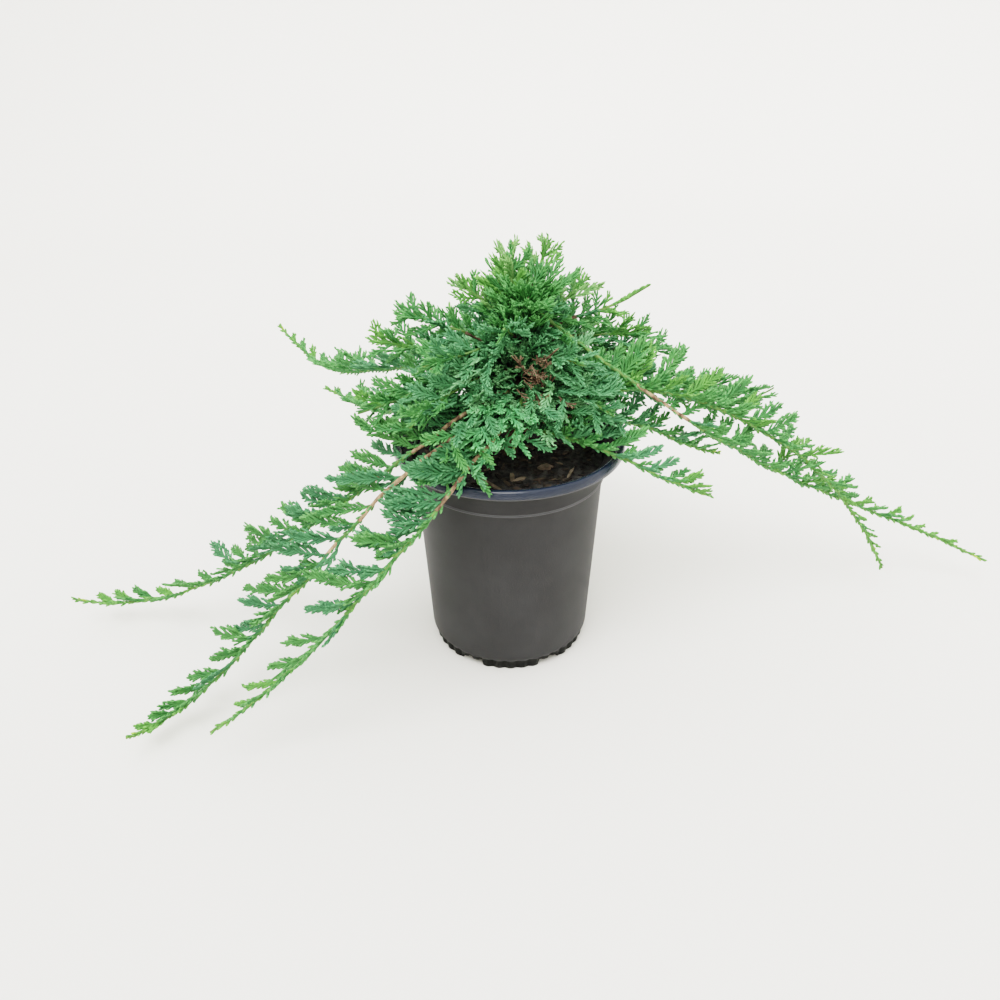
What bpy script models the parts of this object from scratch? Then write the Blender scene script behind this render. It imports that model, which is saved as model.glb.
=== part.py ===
"""Potted blue rug creeping juniper: pot, soil, trunk, boughs and masses of foliage.

Units are metres and degrees. +Z is up and the origin is the middle of the pot's
flat underside. Azimuths turn from +X towards +Y, and the front of the plant,
where the soil shows, faces -Y.
"""

import math
import random
from collections import namedtuple

import bmesh
import bpy
from mathutils import Vector
from mathutils.kdtree import KDTree

# Pot
POT_HEIGHT = 0.167
LIP_RADIUS = 0.0825
LIP_DROP = 0.0070
MOUTH_RADIUS = 0.0775
BAND_TOP_RADIUS = 0.0705
BAND_RADIUS = 0.0686
BAND_BOTTOM = 0.1395
WALL_TOP_RADIUS = 0.0676
WALL_FOOT_RADIUS = 0.0606
FOOT_HEIGHT = 0.0095
FOOT_RADIUS = 0.0592
FOOT_TAPER = 0.0010
KNOB_COUNT = 40
KNOB_DEPTH = 0.0016
WALL = 0.0019
FLOOR_TOP = 0.0095
INNER_TOP = 0.1565
FOOT_ROWS = ((FOOT_RADIUS - FOOT_TAPER, 0.0), (FOOT_RADIUS, FOOT_HEIGHT * 0.8))
NOTCH_COUNT = 6
NOTCH_WIDTH = 0.0170
NOTCH_HEIGHT = 0.0050
NOTCH_REACH = 0.0100
GAP = 0.0003

# Soil and trunk
SOIL_TOP = 0.1515
SOIL_CROWN = 0.0020
SOIL_SEGMENTS = 28
SOIL_RINGS = (0.18, 0.45, 0.75)
SOIL_BUMP = 0.0012
TRUNK_LEAN = Vector((0.014, -0.008, 0.0))
TRUNK_TOP = 0.268
TRUNK_RADIUS = 0.0052
TRUNK_TIP_RADIUS = 0.0021
TRUNK_FLARE = 0.0028
TRUNK_SIDES = 10
TRUNK_RINGS = 12

# Limbs and sprays
BOUGH_RADIUS = 0.0024
BOUGH_TIP_RADIUS = 0.0016
STEM_RADIUS = 0.0014
STEM_TIP_RADIUS = 0.0007
BOUGH_SIDES = 5
BOUGH_STEPS = 6
STEM_SIDES = 3
PATH_STEPS = 48
FINER = 4
MERGE = 0.00001
HANDLE = 0.36
CLEARANCE = 0.0007
ROOT_GAP = 0.0002
ROOT_STEP = 0.0001
RIM_POINTS = 12
GROUND_MARGIN = 0.0035
SOIL_MARGIN = 0.0020
LIP_MARGIN = 0.0120
STEM_STEP = 0.030
LEAF_START = 0.02
MOUND_LEAF_START = 0.30
TRAIL_SPACING = 0.0178
MOUND_SPACING = 0.0175
TOOTH_SPACING = 0.0125
TRAIL_TIP_SHARE = 0.40
MOUND_TIP_SHARE = 0.85
SPRAY_ANGLE = 46.0
SPRAY_ROLL = 50.0
ROLL_DRIFT = 14.0
SPIRAL_TURN = 137.5
SPRAY_THICKNESS = 0.0014
SPRAY_RIB = 0.0018
SPRAY_SHORTEST = 0.0080
FOUR_TEETH = 0.033
THREE_TEETH = 0.016
TOOTH_SHARE = 0.36
TOOTH_ANGLE = 38.0
PLUME_SHARE = 0.34
CORE_RADIUS = 0.0150
CORE_START = 0.12
CORE_STEPS = 7
CORE_SIDES = 5
SEED = 41

Shoot = namedtuple("Shoot", "name tip root leave arrive launch bare bend spray")


def shoot(name, tip, root, leave, arrive, launch=1.0, bare=0.0, bend=None, spray=0.030):
    """One shoot: tip (azimuth, reach, height), root height, headings (azimuth, slope)."""
    return Shoot(name, tip, root, leave, arrive, launch, bare, bend, spray)


TRAILING = [
    shoot("left_far", (180, 0.347, 0.026), 0.190, (271, 46), (187, 22), 0.94, 0.33, 0.70, 0.042),
    shoot("left_middle", (210, 0.290, 0.022), 0.172, (239, 36), (246, 30), 1.12, 0.36, 0.70, 0.036),
    shoot("left_near", (217, 0.244, 0.028), 0.180, (268, 31), (201, -24), 1.10, 0.32, 0.68, 0.036),
    shoot("left_back", (131, 0.333, 0.164), 0.192, (146, 20), (142, 38), 0.95, 0.38, 0.72, 0.030),
    shoot("left_curl", (139, 0.206, 0.147), 0.199, (194, 0), (144, 9), 1.30, 0.30, None, 0.028),
    shoot("right_far", (6, 0.402, 0.024), 0.264, (348, -36), (335, -18), 1.40, 0.16, 0.64, 0.036),
    shoot("right_low", (5, 0.307, 0.029), 0.178, (340, 40), (339, -62), 0.90, 0.34, 0.70, 0.036),
    shoot("right_rim", (347, 0.144, 0.134), 0.169, (296, 32), (24, -26), 1.15, 0.30, None, 0.028),
    shoot("right_under", (15, 0.170, 0.128), 0.169, (350, 28), (38, -22), 1.20, 0.30, None, 0.030),
    shoot("back_left", (110, 0.300, 0.030), 0.176, (118, 34), (106, -26), 1.00, 0.32, 0.70, 0.036),
    shoot("back_middle", (92, 0.330, 0.022), 0.184, (88, 34), (94, -16), 1.00, 0.32, 0.70, 0.036),
    shoot("back_right", (70, 0.285, 0.034), 0.175, (54, 34), (76, -28), 1.00, 0.32, 0.70, 0.036),
]

MOUND = [
    shoot("top_left", (0, 0.003, 0.302), 0.252, (190, 60), (110, 80), spray=0.024),
    shoot("top_right", (47, 0.041, 0.2955), 0.256, (75, 50), (44, 62), spray=0.024),
    shoot("crown_left", (182, 0.032, 0.280), 0.244, (186, 40), (172, 50), spray=0.028),
    shoot("crown_right", (18, 0.056, 0.274), 0.250, (8, 24), (24, 34), spray=0.026),
    shoot("crown_back", (100, 0.046, 0.276), 0.246, (98, 36), (96, 52), spray=0.028),
    shoot("upper_left", (176, 0.074, 0.257), 0.226, (178, 30), (172, 16), spray=0.032),
    shoot("middle_left", (168, 0.098, 0.230), 0.217, (172, 34), (166, 8), spray=0.034),
    shoot("low_left", (194, 0.104, 0.196), 0.206, (192, 34), (190, -14), spray=0.034),
    shoot("whip_right", (26, 0.112, 0.259), 0.236, (2, 34), (22, 26), spray=0.028),
    shoot("middle_right", (22, 0.110, 0.227), 0.222, (22, 34), (10, 2), spray=0.030),
    shoot("fan_high", (28, 0.140, 0.206), 0.208, (34, 34), (22, 0), spray=0.032),
    shoot("fan_middle", (19, 0.186, 0.184), 0.196, (18, 30), (22, 18), spray=0.034),
    shoot("fan_low", (20, 0.223, 0.168), 0.186, (2, 30), (32, 14), 1.2, spray=0.034),
    shoot("back_high", (70, 0.080, 0.248), 0.230, (68, 34), (70, 14), spray=0.032),
    shoot("back_upper_left", (118, 0.098, 0.222), 0.216, (118, 36), (114, 4), spray=0.034),
    shoot("back_upper_right", (50, 0.112, 0.212), 0.212, (52, 36), (50, 0), spray=0.034),
    shoot("back_low", (80, 0.112, 0.200), 0.204, (74, 36), (82, -6), spray=0.034),
    shoot("front_high", (266, 0.050, 0.262), 0.240, (262, 24), (264, 14), spray=0.028),
    shoot("front_upper_left", (222, 0.072, 0.238), 0.230, (226, 30), (222, 0), spray=0.030),
    shoot("front_upper_right", (316, 0.066, 0.236), 0.228, (310, 28), (320, -6), spray=0.028),
    shoot("front_left", (226, 0.090, 0.204), 0.214, (234, 34), (222, -28), spray=0.032),
    shoot("front_right", (328, 0.080, 0.200), 0.206, (320, 30), (334, -28), spray=0.030),
    shoot("front_hanging", (272, 0.064, 0.186), 0.204, (282, 36), (262, -60), spray=0.026),
    shoot("front_rim", (238, 0.090, 0.176), 0.190, (240, 10), (240, -50), spray=0.028),
]

SHOOTS = TRAILING + MOUND

COLOURS = {
    "pot": (0.075, 0.073, 0.070, 0.42),
    "soil": (0.020, 0.014, 0.010, 0.95),
    "trunk": (0.120, 0.060, 0.032, 0.85),
    "bough": (0.330, 0.150, 0.060, 0.80),
    "foliage": (0.045, 0.230, 0.085, 0.62),
}


def clear_scene():
    for obj in list(bpy.data.objects):
        bpy.data.objects.remove(obj, do_unlink=True)


def material(name, kind):
    red, green, blue, roughness = COLOURS[kind]
    mat = bpy.data.materials.new(name)
    mat.use_nodes = True
    shader = mat.node_tree.nodes["Principled BSDF"]
    shader.inputs["Base Color"].default_value = (red, green, blue, 1.0)
    shader.inputs["Roughness"].default_value = roughness
    shader.inputs["Metallic"].default_value = 0.0
    return mat


def add_object(name, mesh, kind=None, collection=None):
    obj = bpy.data.objects.new(name, mesh)
    (collection or bpy.context.scene.collection).objects.link(obj)
    if kind:
        mesh.materials.append(material(name, kind))
    return obj


def mesh_from(name, points, faces):
    mesh = bpy.data.meshes.new(name)
    mesh.from_pydata([tuple(p) for p in points], [], faces)
    bm = bmesh.new()
    bm.from_mesh(mesh)
    bmesh.ops.recalc_face_normals(bm, faces=bm.faces)
    bm.to_mesh(mesh)
    bm.free()
    return mesh


def smooth(mesh, angle=35.0):
    mesh.shade_smooth()
    mesh.set_sharp_from_angle(angle=math.radians(angle))


def polar(azimuth, radius, height):
    a = math.radians(azimuth)
    return Vector((radius * math.cos(a), radius * math.sin(a), height))


def heading(azimuth, slope):
    e = math.radians(slope)
    return polar(azimuth, math.cos(e), math.sin(e))


def blend(low, high, share):
    return low + (high - low) * share


def ring_faces(rows, sides):
    """Quads between rows of a closed ring of points, bottom row first."""
    faces = []
    for row in range(rows - 1):
        for side in range(sides):
            after = (side + 1) % sides
            low, high = row * sides, (row + 1) * sides
            faces.append((low + side, low + after, high + after, high + side))
    return faces


def wall_radius(height):
    """Outer radius of the pot's plain wall at a height."""
    share = (height - FOOT_HEIGHT) / (BAND_BOTTOM - FOOT_HEIGHT)
    return blend(WALL_FOOT_RADIUS, WALL_TOP_RADIUS, share)


def pot_profile():
    """Rows (radius, height) up the wall above the foot, over the lip and down inside."""
    lip_bottom = POT_HEIGHT - LIP_DROP
    return [
        (WALL_FOOT_RADIUS, FOOT_HEIGHT),
        (WALL_TOP_RADIUS, BAND_BOTTOM),
        (BAND_RADIUS, BAND_BOTTOM + 0.0008),
        (BAND_TOP_RADIUS, lip_bottom - 0.0010),
        (LIP_RADIUS - 0.0012, lip_bottom),
        (LIP_RADIUS, lip_bottom + 0.0016),
        (LIP_RADIUS - 0.0008, POT_HEIGHT - 0.0010),
        (LIP_RADIUS - 0.0024, POT_HEIGHT),
        (MOUTH_RADIUS, POT_HEIGHT - 0.0010),
        (BAND_TOP_RADIUS - WALL, INNER_TOP),
        (wall_radius(FLOOR_TOP) - WALL, FLOOR_TOP),
    ]


def pot_mesh():
    """The turned pot: a knobbed foot of twice as many sides as the wall above it."""
    fine, sides = KNOB_COUNT * 2, KNOB_COUNT
    points = []
    for radius, height in FOOT_ROWS:
        for side in range(fine):
            points.append(polar(360.0 * side / fine, radius - KNOB_DEPTH * (side % 2), height))
    faces = ring_faces(len(FOOT_ROWS), fine)
    faces.append(tuple(reversed(range(fine))))
    low = (len(FOOT_ROWS) - 1) * fine
    wall = len(points)
    for side in range(sides):
        left, middle, right = (low + (2 * side + step) % fine for step in range(3))
        above, beyond = wall + side, wall + (side + 1) % sides
        faces += [(left, middle, above), (middle, beyond, above), (middle, right, beyond)]
    profile = pot_profile()
    for radius, height in profile:
        points += [polar(360.0 * side / sides, radius, height) for side in range(sides)]
    faces += [tuple(wall + corner for corner in face) for face in ring_faces(len(profile), sides)]
    last = len(points) - sides
    faces.append(tuple(range(last, last + sides)))
    return mesh_from("pot", points, faces)


def notch_cutter():
    """Six low slots through the foot, where water drains."""
    points, faces = [], []
    inner = FOOT_RADIUS - NOTCH_REACH
    outer = FOOT_RADIUS + 0.004
    for number in range(NOTCH_COUNT):
        turn = 360.0 / NOTCH_COUNT * number
        out = polar(turn, 1.0, 0.0)
        side = polar(turn + 90.0, NOTCH_WIDTH / 2.0, 0.0)
        start = len(points)
        for height in (-0.002, NOTCH_HEIGHT):
            lift = Vector((0.0, 0.0, height))
            for reach, way in ((inner, -1), (outer, -1), (outer, 1), (inner, 1)):
                points.append(out * reach + side * way + lift)
        quads = ((0, 3, 2, 1), (4, 5, 6, 7), (0, 1, 5, 4), (1, 2, 6, 5), (2, 3, 7, 6), (3, 0, 4, 7))
        faces += [tuple(start + corner for corner in quad) for quad in quads]
    return mesh_from("notch_cutter", points, faces)


def build_pot():
    pot = add_object("pot", pot_mesh(), "pot")
    cutter = add_object("notch_cutter", notch_cutter())
    cutter.hide_render = True
    cutter.display_type = "WIRE"
    cut = pot.modifiers.new("notches", "BOOLEAN")
    cut.operation = "DIFFERENCE"
    cut.object = cutter
    smooth(pot.data)
    return pot


def soil_height(share, turn):
    """Height of the soil at a share of its radius: a low crown with small clods."""
    clods = math.sin(3.0 * turn + 9.0 * share) + math.sin(5.0 * turn - 14.0 * share + 1.0)
    fade = min(1.0, 3.0 * max(0.0, share - 0.18)) * (1.0 - share)
    return SOIL_TOP + SOIL_CROWN * (1.0 - share * share) + SOIL_BUMP * clods * fade


def build_soil():
    """The potting mix, one solid that fills the pot to just below its lip."""
    bottom = FLOOR_TOP + GAP
    foot_radius = wall_radius(FLOOR_TOP) - WALL - GAP
    rise = (SOIL_TOP - FLOOR_TOP) / (INNER_TOP - FLOOR_TOP)
    top_radius = blend(foot_radius, BAND_TOP_RADIUS - WALL - GAP, rise) - GAP
    rows = [[polar(360.0 * k / SOIL_SEGMENTS, foot_radius, bottom) for k in range(SOIL_SEGMENTS)]]
    for share in (1.0,) + tuple(reversed(SOIL_RINGS)):
        row = []
        for k in range(SOIL_SEGMENTS):
            turn = 360.0 * k / SOIL_SEGMENTS
            row.append(polar(turn, top_radius * share, soil_height(share, math.radians(turn))))
        rows.append(row)
    faces = ring_faces(len(rows), SOIL_SEGMENTS)
    faces.append(tuple(reversed(range(SOIL_SEGMENTS))))
    last = (len(rows) - 1) * SOIL_SEGMENTS
    faces.append(tuple(range(last, last + SOIL_SEGMENTS)))
    mesh = mesh_from("soil", [point for row in rows for point in row], faces)
    smooth(mesh)
    return add_object("soil", mesh, "soil")


def trunk_foot():
    return soil_height(SOIL_RINGS[0], 0.0) + GAP


def trunk_point(height):
    """Middle of the trunk at a height: it leans to the right and a little forward."""
    share = (height - SOIL_TOP) / (TRUNK_TOP - SOIL_TOP)
    return TRUNK_LEAN * share + Vector((0.0015 * math.sin(6.0 * share), 0.0, height))


def trunk_radius(height):
    share = (height - SOIL_TOP) / (TRUNK_TOP - SOIL_TOP)
    flare = TRUNK_FLARE * max(0.0, 1.0 - share / 0.10) ** 2
    return blend(TRUNK_RADIUS, TRUNK_TIP_RADIUS, share) + flare


def bark_distance(point):
    """Level distance from a point to the trunk's bark."""
    core = trunk_point(point.z)
    return math.hypot(core.x - point.x, core.y - point.y) - trunk_radius(point.z)


def point_at(path, share):
    place = max(0.0, min(1.0, share)) * (len(path) - 1)
    index = min(int(place), len(path) - 2)
    return path[index].lerp(path[index + 1], place - index)


def tangent_at(path, share):
    step = 0.5 / (len(path) - 1)
    return (point_at(path, share + step) - point_at(path, share - step)).normalized()


def path_length(path):
    return sum((b - a).length for a, b in zip(path, path[1:]))


def spread(start, end, count):
    return [blend(start, end, k / count) for k in range(count + 1)]


def tube_mesh(name, path, shares, radii, sides):
    """A tapering tube along a path, square to it, closed by a flat cap at each end."""
    points = []
    level = None
    for share, radius in zip(shares, radii):
        along = tangent_at(path, share)
        if level is None:
            level = along.cross(Vector((0.0, 0.0, 1.0)))
            if level.length < 0.2:
                level = along.cross(Vector((0.0, 1.0, 0.0)))
        level = (level - along * level.dot(along)).normalized()
        lift = level.cross(along)
        for side in range(sides):
            turn = math.tau * (side + 0.25) / sides
            way = level * math.cos(turn) + lift * math.sin(turn)
            points.append(point_at(path, share) + way * radius)
    faces = ring_faces(len(shares), sides)
    faces.append(tuple(reversed(range(sides))))
    faces.append(tuple(range((len(shares) - 1) * sides, len(shares) * sides)))
    return mesh_from(name, points, faces)


def build_trunk():
    """The short trunk: flared at a flat foot on the soil, thin where it ends on top."""
    foot = trunk_foot()
    path = [trunk_point(height) for height in spread(foot, TRUNK_TOP, PATH_STEPS)]
    shares = [(k / TRUNK_RINGS) ** 1.3 for k in range(TRUNK_RINGS + 1)]
    radii = [trunk_radius(blend(foot, TRUNK_TOP, share)) for share in shares]
    mesh = tube_mesh("trunk", path, shares, radii, TRUNK_SIDES)
    for vertex in mesh.vertices[:TRUNK_SIDES]:
        vertex.co.z = foot
    smooth(mesh, 60.0)
    return add_object("trunk", mesh, "trunk")


def bezier(a, b, c, d, t):
    s = 1.0 - t
    return a * s ** 3 + b * (3.0 * s * s * t) + c * (3.0 * s * t * t) + d * t ** 3


def root_point(item):
    """Where a shoot starts: on its heading, with its whole rim just clear of the bark."""
    way = heading(*item.leave)
    level = polar(item.leave[0] + 90.0, 1.0, 0.0)
    lift = way.cross(level)
    own = limb_radius(item, 0.0)
    turns = [math.tau * k / RIM_POINTS for k in range(RIM_POINTS)]
    rim = [(level * math.cos(turn) + lift * math.sin(turn)) * own for turn in turns]
    start = trunk_point(item.root)
    while min(bark_distance(start + corner) for corner in rim) < ROOT_GAP:
        start += way * ROOT_STEP
    return start


def shoot_path(item):
    """Points of a shoot from the trunk's bark to its tip, on one smooth curve."""
    start = root_point(item)
    tip = polar(*item.tip)
    handle = (tip - start).length * HANDLE
    first = start + heading(*item.leave) * handle * item.launch
    second = tip - heading(*item.arrive) * handle
    return [bezier(start, first, second, tip, k / PATH_STEPS) for k in range(PATH_STEPS + 1)]


def limb_radius(item, share):
    """Radius of a shoot's stem: a bough up to its bare share, a thinner stem past it."""
    if item.bare > 0.0 and share <= item.bare:
        return blend(BOUGH_RADIUS, BOUGH_TIP_RADIUS, share / item.bare)
    return blend(STEM_RADIUS, STEM_TIP_RADIUS, share)


def build_bough(item, path):
    name = "bough_" + item.name
    shares = spread(0.0, item.bare, BOUGH_STEPS)
    radii = [limb_radius(item, share) for share in shares]
    mesh = tube_mesh(name, path, shares, radii, BOUGH_SIDES)
    smooth(mesh, 60.0)
    return add_object(name, mesh, "bough")


def spray_points(root, along, across, length, teeth):
    """Corner points of one flat toothed spray, with its faces.

    Each side has pointed teeth that lean forward, longest a third of the way up.
    """
    normal = along.cross(across).normalized()
    points, faces = [], []
    lean = math.radians(TOOTH_ANGLE)
    for row in range(teeth + 1):
        share = row / (teeth + 0.6)
        width = SPRAY_RIB * (1.0 - 0.55 * share) * 0.5
        thick = SPRAY_THICKNESS * (1.0 - 0.5 * share) * 0.5
        middle = root + along * (length * share)
        for side, face in ((-1, -1), (1, -1), (1, 1), (-1, 1)):
            points.append(middle + across * (width * side) + normal * (thick * face))
    for row in range(teeth):
        low, high = row * 4, row * 4 + 4
        faces.append((low, low + 1, high + 1, high))
        faces.append((low + 2, low + 3, high + 3, high + 2))
        share = (row + 0.5) / (teeth + 0.6)
        reach = length * TOOTH_SHARE * math.sin(math.pi * (0.22 + 0.78 * share)) + length * 0.06
        for side, (a, b) in ((1, (1, 2)), (-1, (3, 0))):
            base = root + along * (length * share)
            out = along * math.cos(lean) + across * (side * math.sin(lean))
            apex = len(points)
            points.append(base + out * reach)
            faces.append((low + a, low + b, apex))
            faces.append((low + b, high + b, apex))
            faces.append((high + b, high + a, apex))
            faces.append((high + a, low + a, apex))
    faces.append((3, 2, 1, 0))
    apex = len(points)
    points.append(root + along * length)
    top = teeth * 4
    for corner in range(4):
        faces.append((top + corner, top + (corner + 1) % 4, apex))
    return points, faces


def samples(points, teeth):
    """Points that show where a spray reaches: its rib, its teeth and their middles."""
    ribs = [(points[4 * row] + points[4 * row + 2]) / 2.0 for row in range(teeth + 1)]
    tips = points[4 * (teeth + 1):]
    marks = ribs[1:] + tips
    for number, tip in enumerate(tips):
        rib = ribs[min(number // 2, teeth)]
        marks += [rib.lerp(tip, 0.35), rib.lerp(tip, 0.7)]
    return marks


def in_open_air(point):
    """True where a point is clear of the ground, the soil, the pot's lip and the trunk."""
    reach = math.hypot(point.x, point.y)
    inside = MOUTH_RADIUS - LIP_MARGIN
    if point.z < GROUND_MARGIN:
        return False
    if reach < inside and point.z < SOIL_TOP + SOIL_CROWN + SOIL_MARGIN:
        return False
    if inside <= reach < LIP_RADIUS + SOIL_MARGIN and point.z < POT_HEIGHT + SOIL_MARGIN:
        return False
    height = max(point.z, SOIL_TOP)
    core = trunk_point(height)
    return point.z > TRUNK_TOP + SOIL_MARGIN or (
        math.hypot(core.x - point.x, core.y - point.y) > trunk_radius(height) + 2.0 * CLEARANCE)


def in_own_space(point, own, trees, end=1.0):
    """True where a point is nearer its own shoot than any other, and short of its bend."""
    if not in_open_air(point):
        return False
    _, place, mine = trees[own].find(point)
    if end < 1.0 and place > (end * PATH_STEPS - 1.0) * FINER:
        return False
    for name, tree in trees.items():
        other = tree.find(point)[2]
        if name != own and (other < mine + CLEARANCE or other < BOUGH_RADIUS + 2.0 * CLEARANCE):
            return False
    return True


def path_tree(path):
    """A search tree over a shoot's middle line, with each step cut finer."""
    fine = [path[0]]
    for low, high in zip(path, path[1:]):
        fine += [low.lerp(high, (part + 1) / FINER) for part in range(FINER)]
    tree = KDTree(len(fine))
    for index, point in enumerate(fine):
        tree.insert(point, index)
    tree.balance()
    return tree


def is_mound(item):
    return item in MOUND


def spray_length(item, share):
    """Trailing sprays shorten towards the tip; those of the mound stay nearly even."""
    leafy = max(0.0, share - item.bare) / (1.0 - item.bare)
    least = MOUND_TIP_SHARE if is_mound(item) else TRAIL_TIP_SHARE
    return item.spray * blend(1.0, least, leafy ** 1.2)


def spray_frame(path, share, roll, angle):
    """Direction of a spray and of its flat side, rolled round the shoot from above."""
    along = tangent_at(path, share)
    up = Vector((0.0, 0.0, 1.0)) if abs(along.z) < 0.93 else Vector((0.0, -1.0, 0.0))
    level = along.cross(up).normalized()
    lift = level.cross(along)
    turn, lean = math.radians(roll), math.radians(angle)
    outward = lift * math.cos(turn) + level * math.sin(turn)
    way = (along * math.cos(lean) + outward * math.sin(lean)).normalized()
    across = (along - way * along.dot(way)).normalized()
    return way, across


def spray_roll(item, number, rng):
    """Trailing sprays rise in turn on two sides; those of the mound go round the stem."""
    drift = rng.uniform(-ROLL_DRIFT, ROLL_DRIFT)
    if is_mound(item):
        return SPIRAL_TURN * number + drift
    return SPRAY_ROLL * (1 if number % 2 else -1) + drift


def fitted_spray(item, path, share, end, roll, trees, rng):
    """A spray at a share of the shoot, leaned in and shortened until it fits, or None."""
    angle = SPRAY_ANGLE + rng.uniform(-6.0, 6.0)
    root = point_at(path, share)
    length = spray_length(item, share)
    while length >= SPRAY_SHORTEST:
        teeth = 4 if length > FOUR_TEETH else (3 if length > THREE_TEETH else 2)
        for lean in (angle, angle * 0.65):
            way, across = spray_frame(path, share, roll, lean)
            points, faces = spray_points(root, way, across, length, teeth)
            if all(in_own_space(mark, item.name, trees, end) for mark in samples(points, teeth)):
                return points, faces
        length *= 0.82
    return None


def mass_sprays(item, path, start, end, trees, rng):
    """The sprays of one mass, from its first leaves to its end."""
    spacing = MOUND_SPACING if is_mound(item) else TRAIL_SPACING
    count = max(2, round(path_length(path) * (end - start) / spacing))
    limit = 1.0 if is_mound(item) else end
    sprays = []
    for number in range(count):
        share = blend(start, end, (number + 0.45) / count)
        roll = spray_roll(item, number, rng)
        sprays.append(fitted_spray(item, path, share, limit, roll, trees, rng))
    return [spray for spray in sprays if spray]


def end_spray(item, path):
    """The plume that ends a shoot of the mound, along the shoot's own line."""
    root = point_at(path, 1.0 - PLUME_SHARE)
    tip = path[-1]
    along = (tip - root).normalized()
    across = along.cross(Vector((0.3, -1.0, 0.3))).normalized()
    return spray_points(root, along, across, (tip - root).length, 4)


def room_at(point, own, trees):
    """Half the way from a point of one shoot to the nearest other shoot."""
    others = [tree.find(point)[2] for name, tree in trees.items() if name != own]
    return min(others) / 2.0 - CLEARANCE


def core_radius(item, path, share, trees):
    """Radius of a mound mass's dense inner part, kept in its own space."""
    point = point_at(path, share)
    swell = max(0.0, min(1.0, (share - CORE_START) / (1.0 - PLUME_SHARE * 0.6 - CORE_START)))
    full = CORE_RADIUS * math.sin(math.pi * (0.06 + 0.86 * swell)) ** 0.7
    trunk = trunk_point(min(point.z, TRUNK_TOP))
    bark = (point - trunk).length - TRUNK_RADIUS - 3.0 * CLEARANCE
    lip = point.z - POT_HEIGHT - SOIL_MARGIN
    return max(STEM_RADIUS, min(full, room_at(point, item.name, trees), bark, lip))


def mound_stem(name, item, path, trees):
    """A stem that leaves the trunk thin and swells into the core of its mass."""
    shares = spread(0.0, 1.0 - PLUME_SHARE * 0.6, CORE_STEPS)
    radii = [core_radius(item, path, share, trees) for share in shares]
    radii[0] = STEM_RADIUS
    radii[-1] = STEM_RADIUS
    return tube_mesh(name, path, shares, radii, CORE_SIDES)


def toothed_stem(name, item, path, start, end, trees, rng):
    """The leafy end of a trailing shoot: a four-sided stem with a tooth on each upper face."""
    length = path_length(path)
    count = max(4, round(length * (end - start) / TOOTH_SPACING))
    points, faces, rings = [], [], []
    for k in range(count + 1):
        share = blend(start, end, k / count)
        radius = limb_radius(item, share) * (1.0 if k < count else 0.5)
        along = tangent_at(path, share)
        level = along.cross(Vector((0.0, 0.0, 1.0))).normalized()
        lift = level.cross(along)
        middle = point_at(path, share)
        rings.append(len(points))
        points += [middle + way * radius for way in (lift, level, -lift, -level)]
    faces.append((3, 2, 1, 0))
    faces.append(tuple(rings[-1] + corner for corner in range(4)))
    for k in range(count):
        low, high = rings[k], rings[k + 1]
        faces.append((low + 1, low + 2, high + 2, high + 1))
        faces.append((low + 2, low + 3, high + 3, high + 2))
        share = blend(start, end, (k + 0.4) / count)
        for side, a, b in ((1, 0, 1), (-1, 3, 0)):
            corners = (low + a, low + b, high + b, high + a)
            apex = tooth_apex(item, path, share, side, trees, rng)
            if apex is None:
                faces.append(corners)
                continue
            points.append(apex)
            faces += [(corners[n], corners[(n + 1) % 4], len(points) - 1) for n in range(4)]
    return mesh_from(name, points, faces)


def tooth_apex(item, path, share, side, trees, rng):
    """Tip of one tooth of a shoot's leafy end, in the direction that a spray would take."""
    length = spray_length(item, share) * rng.uniform(0.75, 1.0)
    way, _ = spray_frame(path, share, SPRAY_ROLL * side, TOOTH_ANGLE)
    root = point_at(path, share)
    while length > 2.0 * STEM_RADIUS:
        if all(in_own_space(root + way * length * part, item.name, trees) for part in (0.5, 1.0)):
            return root + way * length
        length *= 0.8
    return None


def is_closed(mesh):
    """True where every edge of a mesh has two faces."""
    counts = [0] * len(mesh.edges)
    for loop in mesh.loops:
        counts[loop.edge_index] += 1
    return bool(mesh.polygons) and all(count == 2 for count in counts)


def union_mesh(body, group, solver):
    """The mesh of a body joined with all objects of a collection."""
    union = body.modifiers.new("union", "BOOLEAN")
    union.operation = "UNION"
    union.operand_type = "COLLECTION"
    union.collection = group
    union.solver = solver
    graph = bpy.context.evaluated_depsgraph_get()
    graph.update()
    mesh = bpy.data.meshes.new_from_object(body.evaluated_get(graph))
    body.modifiers.clear()
    keep_largest(mesh)
    return mesh


def closed_union(body, group):
    """The union by the first solver that leaves it closed, or None."""
    for solver in ("EXACT", "MANIFOLD"):
        mesh = union_mesh(body, group, solver)
        if is_closed(mesh):
            return mesh
    return None


def fuse(name, stem_mesh, meshes):
    """Join a stem and its sprays by one Boolean union on a collection.

    A union that no solver closes is made again with one spray fewer.
    """
    body = add_object(name, stem_mesh)
    group = bpy.data.collections.new(name + "_sprays")
    bpy.context.scene.collection.children.link(group)
    for number, mesh in enumerate(meshes):
        add_object(f"{name}_{number}", mesh, collection=group)
    joined = closed_union(body, group)
    while joined is None and len(group.objects) > 1:
        bpy.data.objects.remove(group.objects[0], do_unlink=True)
        joined = closed_union(body, group)
    body.data = joined or stem_mesh
    for obj in list(group.objects):
        bpy.data.objects.remove(obj, do_unlink=True)
    bpy.data.collections.remove(group)
    return body


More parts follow.
